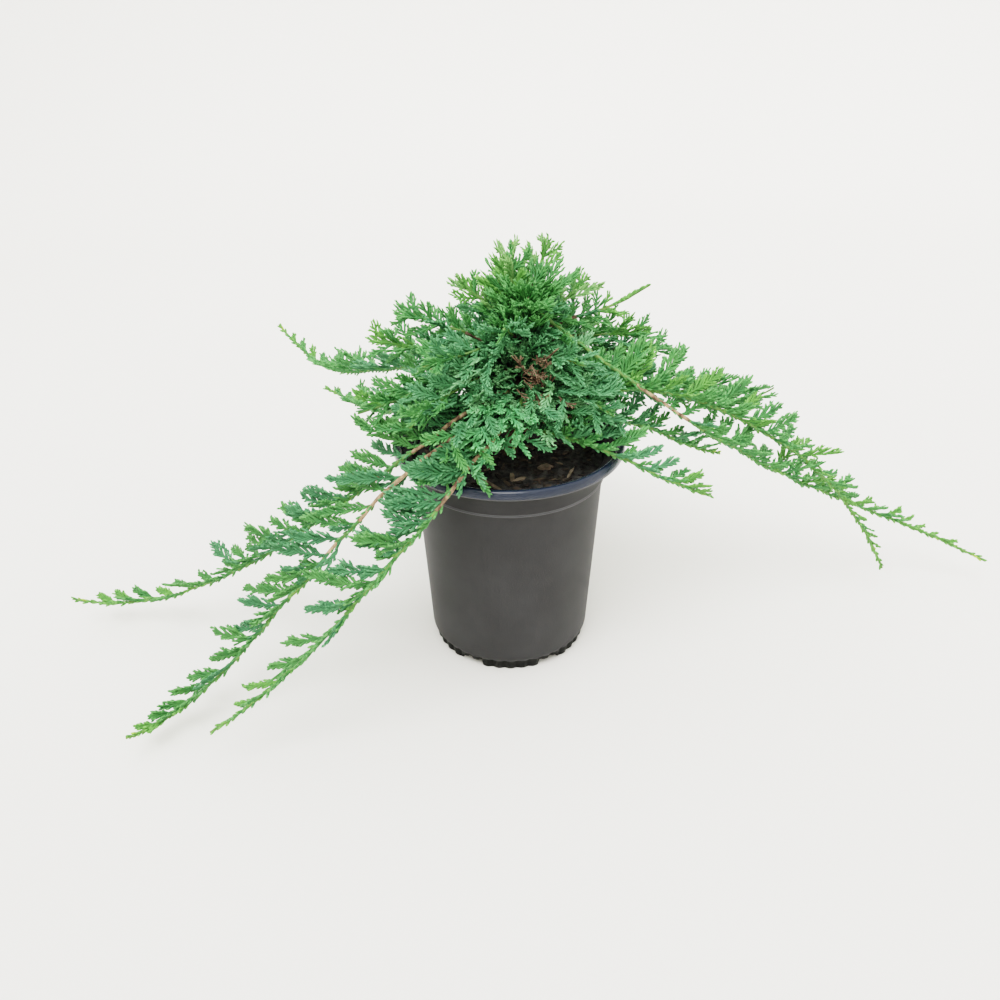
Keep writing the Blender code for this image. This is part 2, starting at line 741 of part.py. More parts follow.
def keep_largest(mesh):
    """Drop loose scraps and the walls of any sealed hollow, and cut faces into triangles."""
    bm = bmesh.new()
    bm.from_mesh(mesh)
    left = set(bm.verts)
    islands = []
    while left:
        seed = left.pop()
        island, front = {seed}, [seed]
        while front:
            for edge in front.pop().link_edges:
                for vert in edge.verts:
                    if vert in left:
                        left.discard(vert)
                        island.add(vert)
                        front.append(vert)
        islands.append(island)
    islands.sort(key=len, reverse=True)
    scraps = [vert for island in islands[1:] for vert in island]
    bmesh.ops.delete(bm, geom=scraps, context="VERTS")
    bmesh.ops.triangulate(bm, faces=bm.faces)
    bmesh.ops.dissolve_degenerate(bm, dist=MERGE, edges=bm.edges)
    bmesh.ops.triangulate(bm, faces=bm.faces)
    bm.to_mesh(mesh)
    bm.free()


def plain_stem(name, item, path, start, end):
    count = max(3, round(path_length(path) * (end - start) / STEM_STEP))
    shares = spread(start, end, count)
    radii = [limb_radius(item, share) for share in shares]
    return tube_mesh(name, path, shares, radii, STEM_SIDES)


def build_mound_mass(item, path, trees, rng):
    """A dense mass: a short stem from the trunk, a core, sprays round it and a plume."""
    name = "foliage_" + item.name
    stem = mound_stem(name, item, path, trees)
    sprays = mass_sprays(item, path, MOUND_LEAF_START, 1.0 - PLUME_SHARE * 0.5, trees, rng)
    sprays.append(end_spray(item, path))
    return fuse(name, stem, [mesh_from(name, points, faces) for points, faces in sprays])


def build_trail_mass(item, path, start, end, name, trees, rng):
    """A mass along a trailing shoot: a thin stem with flat sprays on its two sides."""
    begin = start + GAP / path_length(path)
    stem = plain_stem(name, item, path, begin, end)
    sprays = mass_sprays(item, path, start + LEAF_START, end, trees, rng)
    return fuse(name, stem, [mesh_from(name, points, faces) for points, faces in sprays])


def build_trail_end(item, path, start, name, trees, rng):
    mesh = toothed_stem(name, item, path, start + GAP / path_length(path), 1.0, trees, rng)
    return add_object(name, mesh)


def build_trail(item, path, trees, rng):
    """A trailing shoot: its bare bough, then one mass, or two where it bends."""
    build_bough(item, path)
    name = "foliage_" + item.name
    if item.bend is None:
        masses = [build_trail_mass(item, path, item.bare, 1.0, name, trees, rng)]
    else:
        masses = [
            build_trail_mass(item, path, item.bare, item.bend, name + "_inner", trees, rng),
            build_trail_end(item, path, item.bend, name + "_outer", trees, rng),
        ]
    return masses


def main():
    clear_scene()
    rng = random.Random(SEED)
    build_pot()
    build_soil()
    build_trunk()
    paths = {item.name: shoot_path(item) for item in SHOOTS}
    trees = {name: path_tree(path) for name, path in paths.items()}
    masses = []
    for item in TRAILING:
        masses += build_trail(item, paths[item.name], trees, rng)
    for item in MOUND:
        masses.append(build_mound_mass(item, paths[item.name], trees, rng))
    for mass in masses:
        mass.data.materials.clear()
        mass.data.materials.append(material(mass.name, "foliage"))


main()
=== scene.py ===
"""Looks of the potted blue rug creeping juniper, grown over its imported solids.

Metres and degrees. +Z is up and the origin is the middle of the pot's flat underside.
Azimuths turn from +X towards +Y. The shoots follow the same table and the same rule as
the solids, carried on to finer twigs and leaves.
"""

import math
import random
from collections import namedtuple

import bpy
import numpy as np
from mathutils import Matrix, Vector, noise


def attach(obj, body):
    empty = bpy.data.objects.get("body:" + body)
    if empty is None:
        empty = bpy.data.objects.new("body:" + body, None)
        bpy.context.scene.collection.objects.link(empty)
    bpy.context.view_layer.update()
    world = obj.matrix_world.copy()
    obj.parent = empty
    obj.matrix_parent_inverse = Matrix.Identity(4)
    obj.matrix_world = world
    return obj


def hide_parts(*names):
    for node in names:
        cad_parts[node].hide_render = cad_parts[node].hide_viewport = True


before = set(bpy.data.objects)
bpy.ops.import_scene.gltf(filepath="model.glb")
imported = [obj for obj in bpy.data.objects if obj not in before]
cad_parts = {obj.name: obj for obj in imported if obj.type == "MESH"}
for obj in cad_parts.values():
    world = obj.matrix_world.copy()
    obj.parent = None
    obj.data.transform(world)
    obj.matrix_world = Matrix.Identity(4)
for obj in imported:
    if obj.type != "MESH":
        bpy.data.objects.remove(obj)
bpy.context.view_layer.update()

UP = Vector((0.0, 0.0, 1.0))
BACK = Vector((0.0, 1.0, 0.0))

# Pot
POT_HEIGHT = 0.167
LIP_RADIUS = 0.0825
MOUTH_RADIUS = 0.0775
KNOB_COUNT = 40
KNOB_DEPTH = 0.0016
NOTCH_COUNT = 6
NOTCH_WIDTH = 0.017
NOTCH_HEIGHT = 0.005
NOTCH_START = 0.049
POT_SIDES = 320

# Pot materials: name, dark and light colour, roughness, specular level
POT_LOOKS = (
    ("pot_wall", (0.029, 0.029, 0.03), (0.038, 0.038, 0.04), 0.5, 0.2),
    # the lip has its own darker glossy finish; its blue tint is painted sheen
    ("pot_lip", (0.012, 0.018, 0.032), (0.019, 0.027, 0.047), 0.2, 0.44),
    # the foot's darker colour is painted shade, where the foot meets the floor
    ("pot_foot", (0.011, 0.012, 0.011), (0.017, 0.018, 0.017), 0.6, 0.15),
    # pale edge colour: a painted highlight along the bead under the band and the lip's lower edge
    ("pot_edge", (0.056, 0.056, 0.06), (0.08, 0.08, 0.086), 0.4, 0.3),
)
WALL, LIP, FOOT, EDGE = range(4)

# Rows of the pot (radius, height) from the underside over the lip to the floor, by the look
# of the strip that ends there, and how much of a knob the first rows have
POT_SPANS = (
    # foot strip: darker colour of painted shade
    (FOOT, ((0.0, 0.0), (0.0488, 0.0), (0.0492, 0.0), (0.0552, 0.0), (0.0576, 0.0),
            (0.0582, 0.0006), (0.0588, 0.004), (0.0592, 0.0068), (0.0594, 0.008))),
    (WALL, ((0.0598, 0.009), (0.0606, 0.0102), (0.0608, 0.012), (0.062, 0.0355),
            (0.0634, 0.0615), (0.0648, 0.0875), (0.0662, 0.1135), (0.0675, 0.1383),
            (0.0676, 0.1395), (0.0688, 0.1398))),
    # bead under the band: pale strip of painted highlight
    (EDGE, ((0.0691, 0.1404), (0.0689, 0.1409), (0.0687, 0.1417))),
    (WALL, ((0.06955, 0.14975), (0.0701, 0.1564), (0.0705, 0.1586), (0.0715, 0.1596),
            (0.0735, 0.16))),
    (LIP, ((0.0809, 0.16), (0.082, 0.1604))),
    # lower edge of the lip: pale strip of painted highlight
    (EDGE, ((0.0825, 0.1614),)),
    (LIP, ((0.0825, 0.1634), (0.0821, 0.1652), (0.0814, 0.1663), (0.0803, 0.1669),
           (0.0791, 0.167), (0.0775, 0.1663), (0.0765, 0.1648), (0.0749, 0.162))),
    (WALL, ((0.0706, 0.1595), (0.0686, 0.1565), (0.0657, 0.1395), (0.0587, 0.0095),
            (0.0, 0.0095))),
)
KNOBS = (0.0, 0.0, 0.0, 0.0, 0.6, 1.0, 1.0, 1.0, 0.7, 0.2)

# Soil, with rows of (scale, layer, depth) for its clods and crumbs
SOIL_TOP = 0.1515
SOIL_CROWN = 0.002
SOIL_REACH = 0.067
SOIL_EDGE = 0.0674
SOIL_SKIRT = 0.012
SOIL_SIDES = 168
SOIL_RINGS = 56
SOIL_GRAIN = ((70.0, 0.3, 0.0011), (260.0, 4.1, 0.0008), (620.0, 9.7, 0.0005))

# Chips: count, dark and light colour, shortest and longest; sticks: x, y, turn, length, width
CHIP_REACH = 0.0625
CHIP_SHARES = (-0.5, -0.2, 0.2, 0.5)
CHIPS = {
    "chips_dark": (260, (0.026, 0.022, 0.019), (0.085, 0.071, 0.06), 0.003, 0.009),
    "chips_brown": (90, (0.05, 0.039, 0.031), (0.13, 0.102, 0.08), 0.003, 0.01),
    "chips_tan": (16, (0.14, 0.114, 0.088), (0.28, 0.228, 0.176), 0.003, 0.01),
}
STICKS = {"chips_tan": (
    (-0.0117, -0.0485, -44.0, 0.022, 0.003), (0.0247, -0.0255, 20.0, 0.011, 0.006),
    (0.042, -0.032, 70.0, 0.016, 0.0024))}
STICK_LIFT = 0.0012

# Trunk
TRUNK_LEAN = Vector((0.014, -0.008, 0.0))
TRUNK_BOW = 0.0015
TRUNK_WAVES = 6.0
TRUNK_FOOT = SOIL_TOP + 0.0016
TRUNK_TOP = 0.268
TRUNK_RADIUS = 0.0052
TRUNK_TIP_RADIUS = 0.0021
TRUNK_FLARE = 0.0028
FLARE_SHARE = 0.1
TRUNK_STEPS = 90

# Limbs and sprays, as in the solids
BOUGH_RADIUS = 0.0024
STEM_RADIUS = 0.0014
STEM_TIP_RADIUS = 0.0007
PATH_STEPS = 48
HANDLE = 0.36
CLEARANCE = 0.0007
ROOT_GAP = 0.0002
ROOT_STEP = 0.0001
RIM_POINTS = 12
GROUND_MARGIN = 0.0035
SOIL_MARGIN = 0.002
LIP_MARGIN = 0.012
SPRAY_ANGLE = 46.0
SPRAY_ROLL = 50.0
ROLL_DRIFT = 14.0
SPIRAL_TURN = 137.5
PLUME_SHARE = 0.34
SEED = 41

# Sway of the shoots
NOISE_SEED = 7
SWAY = 0.0022
SWAY_SCALE = 38.0

# Finer twigs and leaves
BRANCH_SPACING = 0.0018
BRANCH_SHARE = 0.37
BRANCH_WIDE = 39.0
BRANCH_NARROW = 24.0
BRANCH_BASE = 0.036
LEAST_BRANCH = 0.0026
SPRAY_START = 0.05
SPRAY_SPAN = 0.92
FINGER_SPACING = 0.0033
FINGER_SHARE = 0.4
FINGER_ANGLE = 28.0
FINGER_START = 0.24
FINGER_SPAN = 0.58
LEAST_FINGER = 0.0024
NUB_LENGTH = 0.0042
RISE = 0.4
FINGER_RADIUS = 0.00079
STALK_RADIUS = 0.0009
FLATNESS = 0.8
SHORTEST = 0.007
SHRINK = 0.82
LEANS = (1.0, 0.65)
STEEP = 0.93
MARK_SHARES = (0.35, 0.7, 1.0)
MARK_SIDE = (0.6, 0.24)
SCALE_SPACING = 0.0015
SCALE_END = 0.992
PIECE_LIMIT = 190000

Tube = namedtuple("Tube", "sides tip_from shares widths")
TUBES = {
    "fingers": Tube(4, 0.6, (0.0, 0.3, 0.6, 0.86), (0.9, 1.1, 1.06, 0.8)),
    "nubs": Tube(3, 0.5, (0.0, 0.62), (1.05, 1.05)),
    "stalks": Tube(4, 0.8, (0.0, 0.16, 0.32, 0.48, 0.64, 0.8, 0.93),
                   (1.0, 1.12, 0.95, 1.06, 0.88, 0.88, 0.66)),
}

# Open places: the hollow in front, and the lines of sight to three bare boughs
HOLLOW = Vector((0.009, -0.05, 0.232))
HOLLOW_RADIUS = 0.017
SIGHT = Vector((0.0, -0.86, 0.51))
SIGHT_SPANS = {"left_far": (0.25, 0.4), "left_middle": (0.19, 0.36), "right_far": (0.03, 0.15)}
SIGHT_GAPS = 8
SIGHT_STEPS = (0.006, 0.014, 0.024)
SIGHT_RADIUS = 0.0062
SIGHT_SIDE = 0.025

# Colours of the leaves, dark and light; a tone is a number along the list of shades
SHADES = ("deep", "teal", "green", "bright", "lime")
# the left shoots' fir and fern are darker copies of teal and green: painted shade
LEFT_SHADES = ("fir", "fir", "fern", "bright", "lime")
LEAF_COLOURS = {
    # first shade, at the mound's middle: lighter than teal, painted light that lifts the shade
    # there
    "deep": ((0.112, 0.262, 0.124), (0.158, 0.346, 0.162)),
    "teal": ((0.057, 0.176, 0.082), (0.084, 0.234, 0.102)),
    # crown: paler colour for top sprays, partly new growth and partly painted top light
    "crown": ((0.108, 0.25, 0.08), (0.158, 0.324, 0.104)),
    "green": ((0.052, 0.18, 0.056), (0.084, 0.244, 0.071)),
    "bright": ((0.068, 0.206, 0.048), (0.108, 0.276, 0.06)),
    # fir and fern: painted shade, darker copies of teal and green
    "fir": ((0.038, 0.134, 0.058), (0.06, 0.184, 0.076)),
    "fern": ((0.044, 0.156, 0.044), (0.072, 0.21, 0.056)),
    "lime": ((0.17, 0.32, 0.052), (0.26, 0.4, 0.064)),
    "mint": ((0.088, 0.298, 0.124), (0.134, 0.378, 0.152)),
    "dry": ((0.078, 0.054, 0.036), (0.165, 0.112, 0.074)),
}
# paler finger tips: partly new growth, partly painted highlight
TIP_GAIN = 1.42
TIP_LIFT = 0.03
TONE_SCATTER = 0.6
# mound tone: painted light in the middle; brighter rim and top, partly new growth, partly painted
# top light
TONE_MIDDLE = Vector((0.004, -0.012, 0.2))
TONE_GAIN = 29.0
TONE_START = 0.6
TONE_MOST = 2.5
TOP_HEIGHT = 0.24
TOP_GAIN = 16.0

# Trailing shoots: spacing, size and colour of their sprays
TRAIL_SPACING = 0.0072
SPACING = {"left_far": 0.005, "left_middle": 0.0066}
COVER_SPACING = 0.0085
WHIP_SPACING = 0.0088
WHIP_END = 0.93
BEND = 0.78
NEAR_SHARE = 0.58
TRAIL_SIZE = 1.08
TRAIL_LEAST = 0.56
TRAIL_SLIM = 0.86
TRAIL_STOUT = 1.18
WARM = {"right_far": 0.8, "right_low": 0.8}
WARM_SLIM = 0.8
# shoots that take the darker painted-shade colours
LEFT = ("left_far", "left_middle", "left_near")
REACH = {"left_middle": 1.18, "left_near": 1.3, "right_far": 0.98, "right_low": 0.94,
         "right_rim": 1.15}
LEAFY = {"left_far": 0.2, "left_middle": 0.2, "left_near": 0.16, "left_back": 0.18,
         "left_curl": 0.16, "right_far": 0.18, "right_low": 0.12, "right_rim": 0.12,
         "right_under": 0.14}
SCALY = {"right_far": 0.02}

# Single sprays of the left shoots: share, roll, angle, length
EXTRA = {
    "left_near": (
        (0.18, 60, 44, 0.034), (0.22, 78, 50, 0.036), (0.26, 52, 46, 0.038), (0.3, 75, 52, 0.036),
        (0.33, 95, 46, 0.03), (0.2, 100, 56, 0.034), (0.28, 110, 50, 0.03), (0.33, 34, 76, 0.036),
        (0.35, 52, 80, 0.036), (0.39, 64, 70, 0.038), (0.41, 44, 72, 0.032),
        (0.44, 60, 62, 0.032), (0.46, 40, 60, 0.026), (0.52, 72, 56, 0.04),
    ),
    "left_middle": (
        (0.44, -95, 40, 0.026), (0.47, -80, 46, 0.024), (0.5, 20, 40, 0.024),
        (0.17, 96, 52, 0.03), (0.21, -104, 46, 0.03), (0.24, 100, 50, 0.03),
        (0.27, -96, 46, 0.032), (0.3, 98, 46, 0.028), (0.33, -92, 44, 0.03),
        (0.19, 150, 50, 0.026), (0.23, -150, 50, 0.026), (0.28, 150, 44, 0.028),
    ),
    "left_far": (
        (0.2, -100, 52, 0.03), (0.23, 98, 50, 0.034), (0.26, -96, 48, 0.03),
        (0.29, 96, 50, 0.034), (0.31, -100, 44, 0.03), (0.34, 92, 46, 0.034),
        (0.36, -94, 40, 0.028), (0.24, 150, 50, 0.028), (0.28, -150, 46, 0.028),
        (0.32, 160, 44, 0.028),
    ),
}

# Mound: how each kind of shoot differs from the plain one
MoundStyle = namedtuple("MoundStyle", "spacing size angle tone plume_tone slim last")
PLAIN = MoundStyle(0.004, 1.0, SPRAY_ANGLE, 0.2, 0.0, 0.9, 0.9)
MOUND_STYLES = {
    "front": PLAIN._replace(spacing=0.0036, size=1.12),
    "top": PLAIN._replace(size=1.12),
    "fan": PLAIN._replace(size=0.84, angle=30.0, tone=-0.4, plume_tone=-0.5, slim=0.6),
    "whip": PLAIN._replace(size=0.8, slim=0.26, last=0.62),
}
MOUND_SIZE = {"upper_left": 0.86, "middle_left": 0.86, "low_left": 0.92}
MOUND_LEAFY = 0.84
MOUND_TIP_SHARE = 0.85
MOUND_STOUT = 0.91
TIP_MARGIN = 0.008
RISE_CUT = 0.38
# half the top and crown sprays take the paler crown colour: partly new growth, partly painted top
# light
CROWN_KINDS = ("top", "crown")
CROWN_SHARE = 0.5
PLUME_SIDE = Vector((0.3, -1.0, 0.3))

# Inside of the mound: sprays on the trunk, dead ones, and a pale place in front
CORE_SPRAYS = 140
CORE_HEIGHTS = (0.17, 0.266)
DRY_SPRAYS = 26
DRY_MIDDLE = Vector((0.018, -0.038, 0.23))
THIN = {"dry": 0.72}
MINT_MIDDLE = Vector((-0.003, -0.06, 0.2))
MINT_RADIUS = 0.022
MINT_SHARE = 0.75

# Low side twigs round the trunk: azimuth, reach and height of each tip
LOW_SPACING = 0.0075
LOW_TIPS = [
    (262, 0.06, 0.188), (280, 0.056, 0.19), (296, 0.058, 0.194), (312, 0.062, 0.198),
    (328, 0.068, 0.196), (344, 0.072, 0.192), (248, 0.068, 0.184), (236, 0.076, 0.18),
    (252, 0.079, 0.177), (240, 0.088, 0.177), (226, 0.08, 0.184), (212, 0.076, 0.19),
    (270, 0.058, 0.208), (288, 0.056, 0.212), (306, 0.06, 0.214), (322, 0.064, 0.214),
    (338, 0.07, 0.212), (252, 0.062, 0.208), (236, 0.068, 0.21), (218, 0.07, 0.21),
    (276, 0.05, 0.228), (300, 0.052, 0.232), (324, 0.054, 0.236), (250, 0.054, 0.23),
    (244, 0.084, 0.197), (254, 0.08, 0.196), (262, 0.074, 0.195), (249, 0.08, 0.188),
    (172, 0.078, 0.186), (152, 0.08, 0.186), (130, 0.078, 0.184), (108, 0.08, 0.186),
    (86, 0.078, 0.184), (64, 0.08, 0.186), (44, 0.078, 0.186), (27, 0.08, 0.184),
]

# Bark: bare spans of the shoots, and materials and finishes of the limbs
BARK = {
    "right_far": ((0.14, 0.23),),
    "left_far": ((0.0, 0.36), (0.41, 0.44)),
    "left_middle": ((0.0, 0.4), (0.45, 0.48)),
    "left_near": ((0.0, 0.43),),
}
BARK_LOOKS = {
    "bark_old": ((0.05, 0.033, 0.022), (0.15, 0.098, 0.064), 40.0, 0.88, 0.0012, (3.0, 3.0, 0.7)),
    "bark_young": ((0.1, 0.058, 0.034), (0.43, 0.3, 0.19), 130.0, 0.78, 0.0008,
                   (2.0, 2.0, 1.0)),
    "bark_green": ((0.085, 0.18, 0.05), (0.15, 0.26, 0.068), 60.0, 0.66, 0.0005),
}
STEM_START = 0.0018
THIN_START = {"right_far": 0.0014}
STEM_END = 0.00085
INNER_SHARE = 0.42

# Finishes: step along the limb, sides, relief and grain of the bark
TRUNK_FINISH = (20, 0.16, 260.0)
BOUGH_FINISH = (0.002, 10, 0.3, 240.0)
SPUR_FINISH = (0.0026, 8, 0.2, 420.0)
TRAIL_FINISH = (0.0026, 8, 0.24, 420.0)
INNER_FINISH = (0.003, 8, 0.15, 240.0)
STEM_FINISH = (0.003, 7, 0.2, 420.0)

# Floor, light and camera
FLOOR_REACH = 1.6
FLOOR_CURVE = 0.9
FLOOR_SIDES = 96
PITCH = math.radians(30.57)
ROLL = math.radians(-0.59)
DISTANCE = 0.631
AIM = Vector((-0.0067, 0.0, 0.1131))

Shoot = namedtuple("Shoot", "name tip root leave arrive spray launch bare bend",
                   defaults=(1.0, 0.0, BEND))

# Shoots: name, tip (azimuth, reach, height), height of the root, headings (azimuth, slope) at
# both ends, length of a spray, pull of the first heading, bare share and share of the bend
TRAILING = [Shoot(*row) for row in (
    ("left_far", (180, 0.347, 0.026), 0.19, (271, 46), (187, 22), 0.042, 0.94, 0.33, 0.7),
    ("left_middle", (210, 0.29, 0.022), 0.172, (239, 36), (246, 30), 0.036, 1.12, 0.36, 0.7),
    ("left_near", (217, 0.244, 0.028), 0.18, (268, 31), (201, -24), 0.036, 1.1, 0.32, 0.68),
    ("left_back", (131, 0.333, 0.164), 0.192, (146, 20), (142, 38), 0.03, 0.95, 0.38, 0.72),
    ("left_curl", (139, 0.206, 0.147), 0.199, (194, 0), (144, 9), 0.028, 1.3, 0.3),
    ("right_far", (6, 0.402, 0.024), 0.264, (348, -36), (335, -18), 0.036, 1.4, 0.16, 0.64),
    ("right_low", (5, 0.307, 0.029), 0.178, (340, 40), (339, -62), 0.036, 0.9, 0.34, 0.7),
    ("right_rim", (347, 0.144, 0.134), 0.169, (296, 32), (24, -26), 0.028, 1.15, 0.3),
    ("right_under", (15, 0.17, 0.128), 0.169, (350, 28), (38, -22), 0.03, 1.2, 0.3),
    ("back_left", (110, 0.3, 0.03), 0.176, (118, 34), (106, -26), 0.036, 1.0, 0.32, 0.7),
    ("back_middle", (92, 0.33, 0.022), 0.184, (88, 34), (94, -16), 0.036, 1.0, 0.32, 0.7),
    ("back_right", (70, 0.285, 0.034), 0.175, (54, 34), (76, -28), 0.036, 1.0, 0.32, 0.7),
)]

MOUND = [Shoot(*row) for row in (
    ("top_left", (0, 0.003, 0.302), 0.252, (190, 60), (110, 80), 0.024),
    ("top_right", (47, 0.041, 0.2955), 0.256, (75, 50), (44, 62), 0.024),
    ("crown_left", (182, 0.032, 0.28), 0.244, (186, 40), (172, 50), 0.028),
    ("crown_right", (18, 0.056, 0.274), 0.25, (8, 24), (24, 34), 0.026),
    ("crown_back", (100, 0.046, 0.276), 0.246, (98, 36), (96, 52), 0.028),
    ("upper_left", (176, 0.074, 0.257), 0.226, (178, 30), (172, 16), 0.032),
    ("middle_left", (168, 0.098, 0.23), 0.217, (172, 34), (166, 8), 0.034),
    ("low_left", (194, 0.104, 0.196), 0.206, (192, 34), (190, -14), 0.034),
    ("whip_right", (26, 0.112, 0.259), 0.236, (2, 34), (22, 26), 0.028),
    ("middle_right", (22, 0.11, 0.227), 0.222, (22, 34), (10, 2), 0.03),
    ("fan_high", (28, 0.14, 0.206), 0.208, (34, 34), (22, 0), 0.032),
    ("fan_middle", (19, 0.186, 0.184), 0.196, (18, 30), (22, 18), 0.034),
    ("fan_low", (20, 0.223, 0.168), 0.186, (2, 30), (32, 14), 0.034, 1.2),
    ("back_high", (70, 0.08, 0.248), 0.23, (68, 34), (70, 14), 0.032),
    ("back_upper_left", (118, 0.098, 0.222), 0.216, (118, 36), (114, 4), 0.034),
    ("back_upper_right", (50, 0.112, 0.212), 0.212, (52, 36), (50, 0), 0.034),
    ("back_low", (80, 0.112, 0.2), 0.204, (74, 36), (82, -6), 0.034),
    ("front_high", (266, 0.05, 0.262), 0.24, (262, 24), (264, 14), 0.028),
    ("front_upper_left", (222, 0.072, 0.238), 0.23, (226, 30), (222, 0), 0.03),
    ("front_upper_right", (316, 0.066, 0.236), 0.228, (310, 28), (320, -6), 0.028),
    ("front_left", (226, 0.09, 0.204), 0.214, (234, 34), (222, -28), 0.032),
    ("front_right", (328, 0.08, 0.2), 0.206, (320, 30), (334, -28), 0.03),
    ("front_hanging", (272, 0.064, 0.186), 0.204, (282, 36), (262, -60), 0.026),
    ("front_rim", (238, 0.09, 0.176), 0.19, (240, 10), (240, -50), 0.028),
)]


# Vectors and paths

def around(turn, radius, height):
    """A point from its turn in radians, its distance from the axis and its height."""
    return Vector((radius * math.cos(turn), radius * math.sin(turn), height))


def polar(azimuth, radius, height):
    """A point from its azimuth, its distance from the axis and its height."""
    return around(math.radians(azimuth), radius, height)


def heading(azimuth, slope):
    """A unit direction from its azimuth and its slope."""
    lean = math.radians(slope)
    return polar(azimuth, math.cos(lean), math.sin(lean))


def blend(low, high, share):
    """The value at a share of the way from low to high."""
    return low + (high - low) * share


def soil_height(x, y):
    """Height of the soil's surface: a low crown with clods and crumbs."""
    reach = math.hypot(x, y) / SOIL_REACH
    rough = sum(depth * noise.noise(Vector((x * scale, y * scale, layer)))
                for scale, layer, depth in SOIL_GRAIN)
    return SOIL_TOP + SOIL_CROWN * (1.0 - reach * reach) + rough * min(1.0, reach * 4.0)


def trunk_share(height):
    """How far up the trunk a height lies, from 0 at the soil to 1 at its tip."""
    return (height - SOIL_TOP) / (TRUNK_TOP - SOIL_TOP)


def trunk_point(height):
    """Middle of the trunk at a height: it leans to the right and a little forward."""
    share = trunk_share(height)
    return TRUNK_LEAN * share + Vector((TRUNK_BOW * math.sin(TRUNK_WAVES * share), 0.0, height))


def trunk_radius(height):
    """Radius of the trunk at a height, with its root flare."""
    share = trunk_share(height)
    flare = TRUNK_FLARE * max(0.0, 1.0 - share / FLARE_SHARE) ** 2
    return blend(TRUNK_RADIUS, TRUNK_TIP_RADIUS, share) + flare


def bark_distance(point, height):
    """Level distance from a point to the trunk's bark at a height."""
    core = trunk_point(height)
    return math.hypot(core.x - point.x, core.y - point.y) - trunk_radius(height)


def point_at(path, share):
    """The point at a share of a path."""
    place = max(0.0, min(1.0, share)) * (len(path) - 1)
    index = min(int(place), len(path) - 2)
    return path[index].lerp(path[index + 1], place - index)


def tangent_at(path, share):
    """The direction of a path at a share of it."""
    step = 0.5 / (len(path) - 1)
    return (point_at(path, share + step) - point_at(path, share - step)).normalized()


def path_length(path):
    """The length of a path."""
    return sum((b - a).length for a, b in zip(path, path[1:]))


def curve(a, ahead, d, behind, steps):
    """Points of a cubic curve that leaves a along one vector and reaches d along another."""
    b, c = a + ahead, d - behind
    rows = []
    for number in range(steps + 1):
        t = number / steps
        s = 1.0 - t
        rows.append(a * s ** 3 + b * (3.0 * s * s * t) + c * (3.0 * s * t * t) + d * t ** 3)
    return rows


def root_point(item):
    """Where a shoot starts: on its heading, with its whole rim just clear of the bark."""
    way = heading(*item.leave)
    level = polar(item.leave[0] + 90.0, 1.0, 0.0)
    lift = way.cross(level)
    own = BOUGH_RADIUS if item.bare else STEM_RADIUS
    turns = [math.tau * k / RIM_POINTS for k in range(RIM_POINTS)]
    rim = [(level * math.cos(turn) + lift * math.sin(turn)) * own for turn in turns]
    start = trunk_point(item.root)
    while min(bark_distance(start + corner, (start + corner).z) for corner in rim) < ROOT_GAP:
        start += way * ROOT_STEP
    return start


def shoot_path(item):
    """Points of a shoot from the trunk's bark to its tip, on one smooth curve."""
    start = root_point(item)
    tip = polar(*item.tip)
    handle = (tip - start).length * HANDLE
    ahead = heading(*item.leave) * handle * item.launch
    return curve(start, ahead, tip, heading(*item.arrive) * handle, PATH_STEPS)


def swayed(path):
    """A path with the small sways of a grown shoot."""
    rows = []
    for number, point in enumerate(path):
        share = number / (len(path) - 1)
        sway = noise.noise_vector(point * SWAY_SCALE) * SWAY * math.sin(math.pi * share)
        rows.append(point + sway)
    return rows


# Leaves

class Twigs:
    """Small tubes by kind and shade, kept as rows of numbers until they become meshes."""

    def __init__(self, sights, stout):
        self.rows = {}
        self.sights = sights
        self.stout = stout

    def add(self, kind, shade, root, way, side, bend, length, radius):
        rows = self.rows.setdefault((kind, shade), [])
        rows.append((*root, *way, *side, *bend, length, radius))

    def finger(self, shade, root, way, side, bend, length, radius):
        kind = "nubs" if length < NUB_LENGTH else "fingers"
        self.add(kind, shade, root, way, side, bend, length, radius * self.stout)

    def fits(self, root, way, across, length):
        """True where a spray stays in open air, along its middle and at its sides."""
        along, aside = MARK_SIDE
        marks = [root + way * length * part for part in MARK_SHARES]
        for side in (-1.0, 1.0):
            marks.append(root + way * length * along + across * (side * length * aside))
        return all(in_open_air(mark, self.sights) for mark in marks)


def in_open_air(point, sights):
    """True where a point is clear of ground, hollow, sights, soil, lip and trunk."""
    reach = math.hypot(point.x, point.y)
    inside = MOUTH_RADIUS - LIP_MARGIN
    if point.z < GROUND_MARGIN or (point - HOLLOW).length < HOLLOW_RADIUS:
        return False
    if abs(point.x) > SIGHT_SIDE and any((point - spot).length < SIGHT_RADIUS for spot in sights):
        return False
    if reach < inside and point.z < SOIL_TOP + SOIL_CROWN + SOIL_MARGIN:
        return False
    if inside <= reach < LIP_RADIUS + SOIL_MARGIN and point.z < POT_HEIGHT + SOIL_MARGIN:
        return False
    away = bark_distance(point, max(point.z, SOIL_TOP)) > 2.0 * CLEARANCE
    return away or point.z > TRUNK_TOP + SOIL_MARGIN


def bough_sights(paths):
    """Points in front of the bare boughs that stay open, so that the boughs show."""
    spots = []
    for name, (start, end) in SIGHT_SPANS.items():
        for share in limb_shares(start, end, SIGHT_GAPS):
            base = point_at(paths[name], share)
            spots += [base + SIGHT * step for step in SIGHT_STEPS]
    return spots


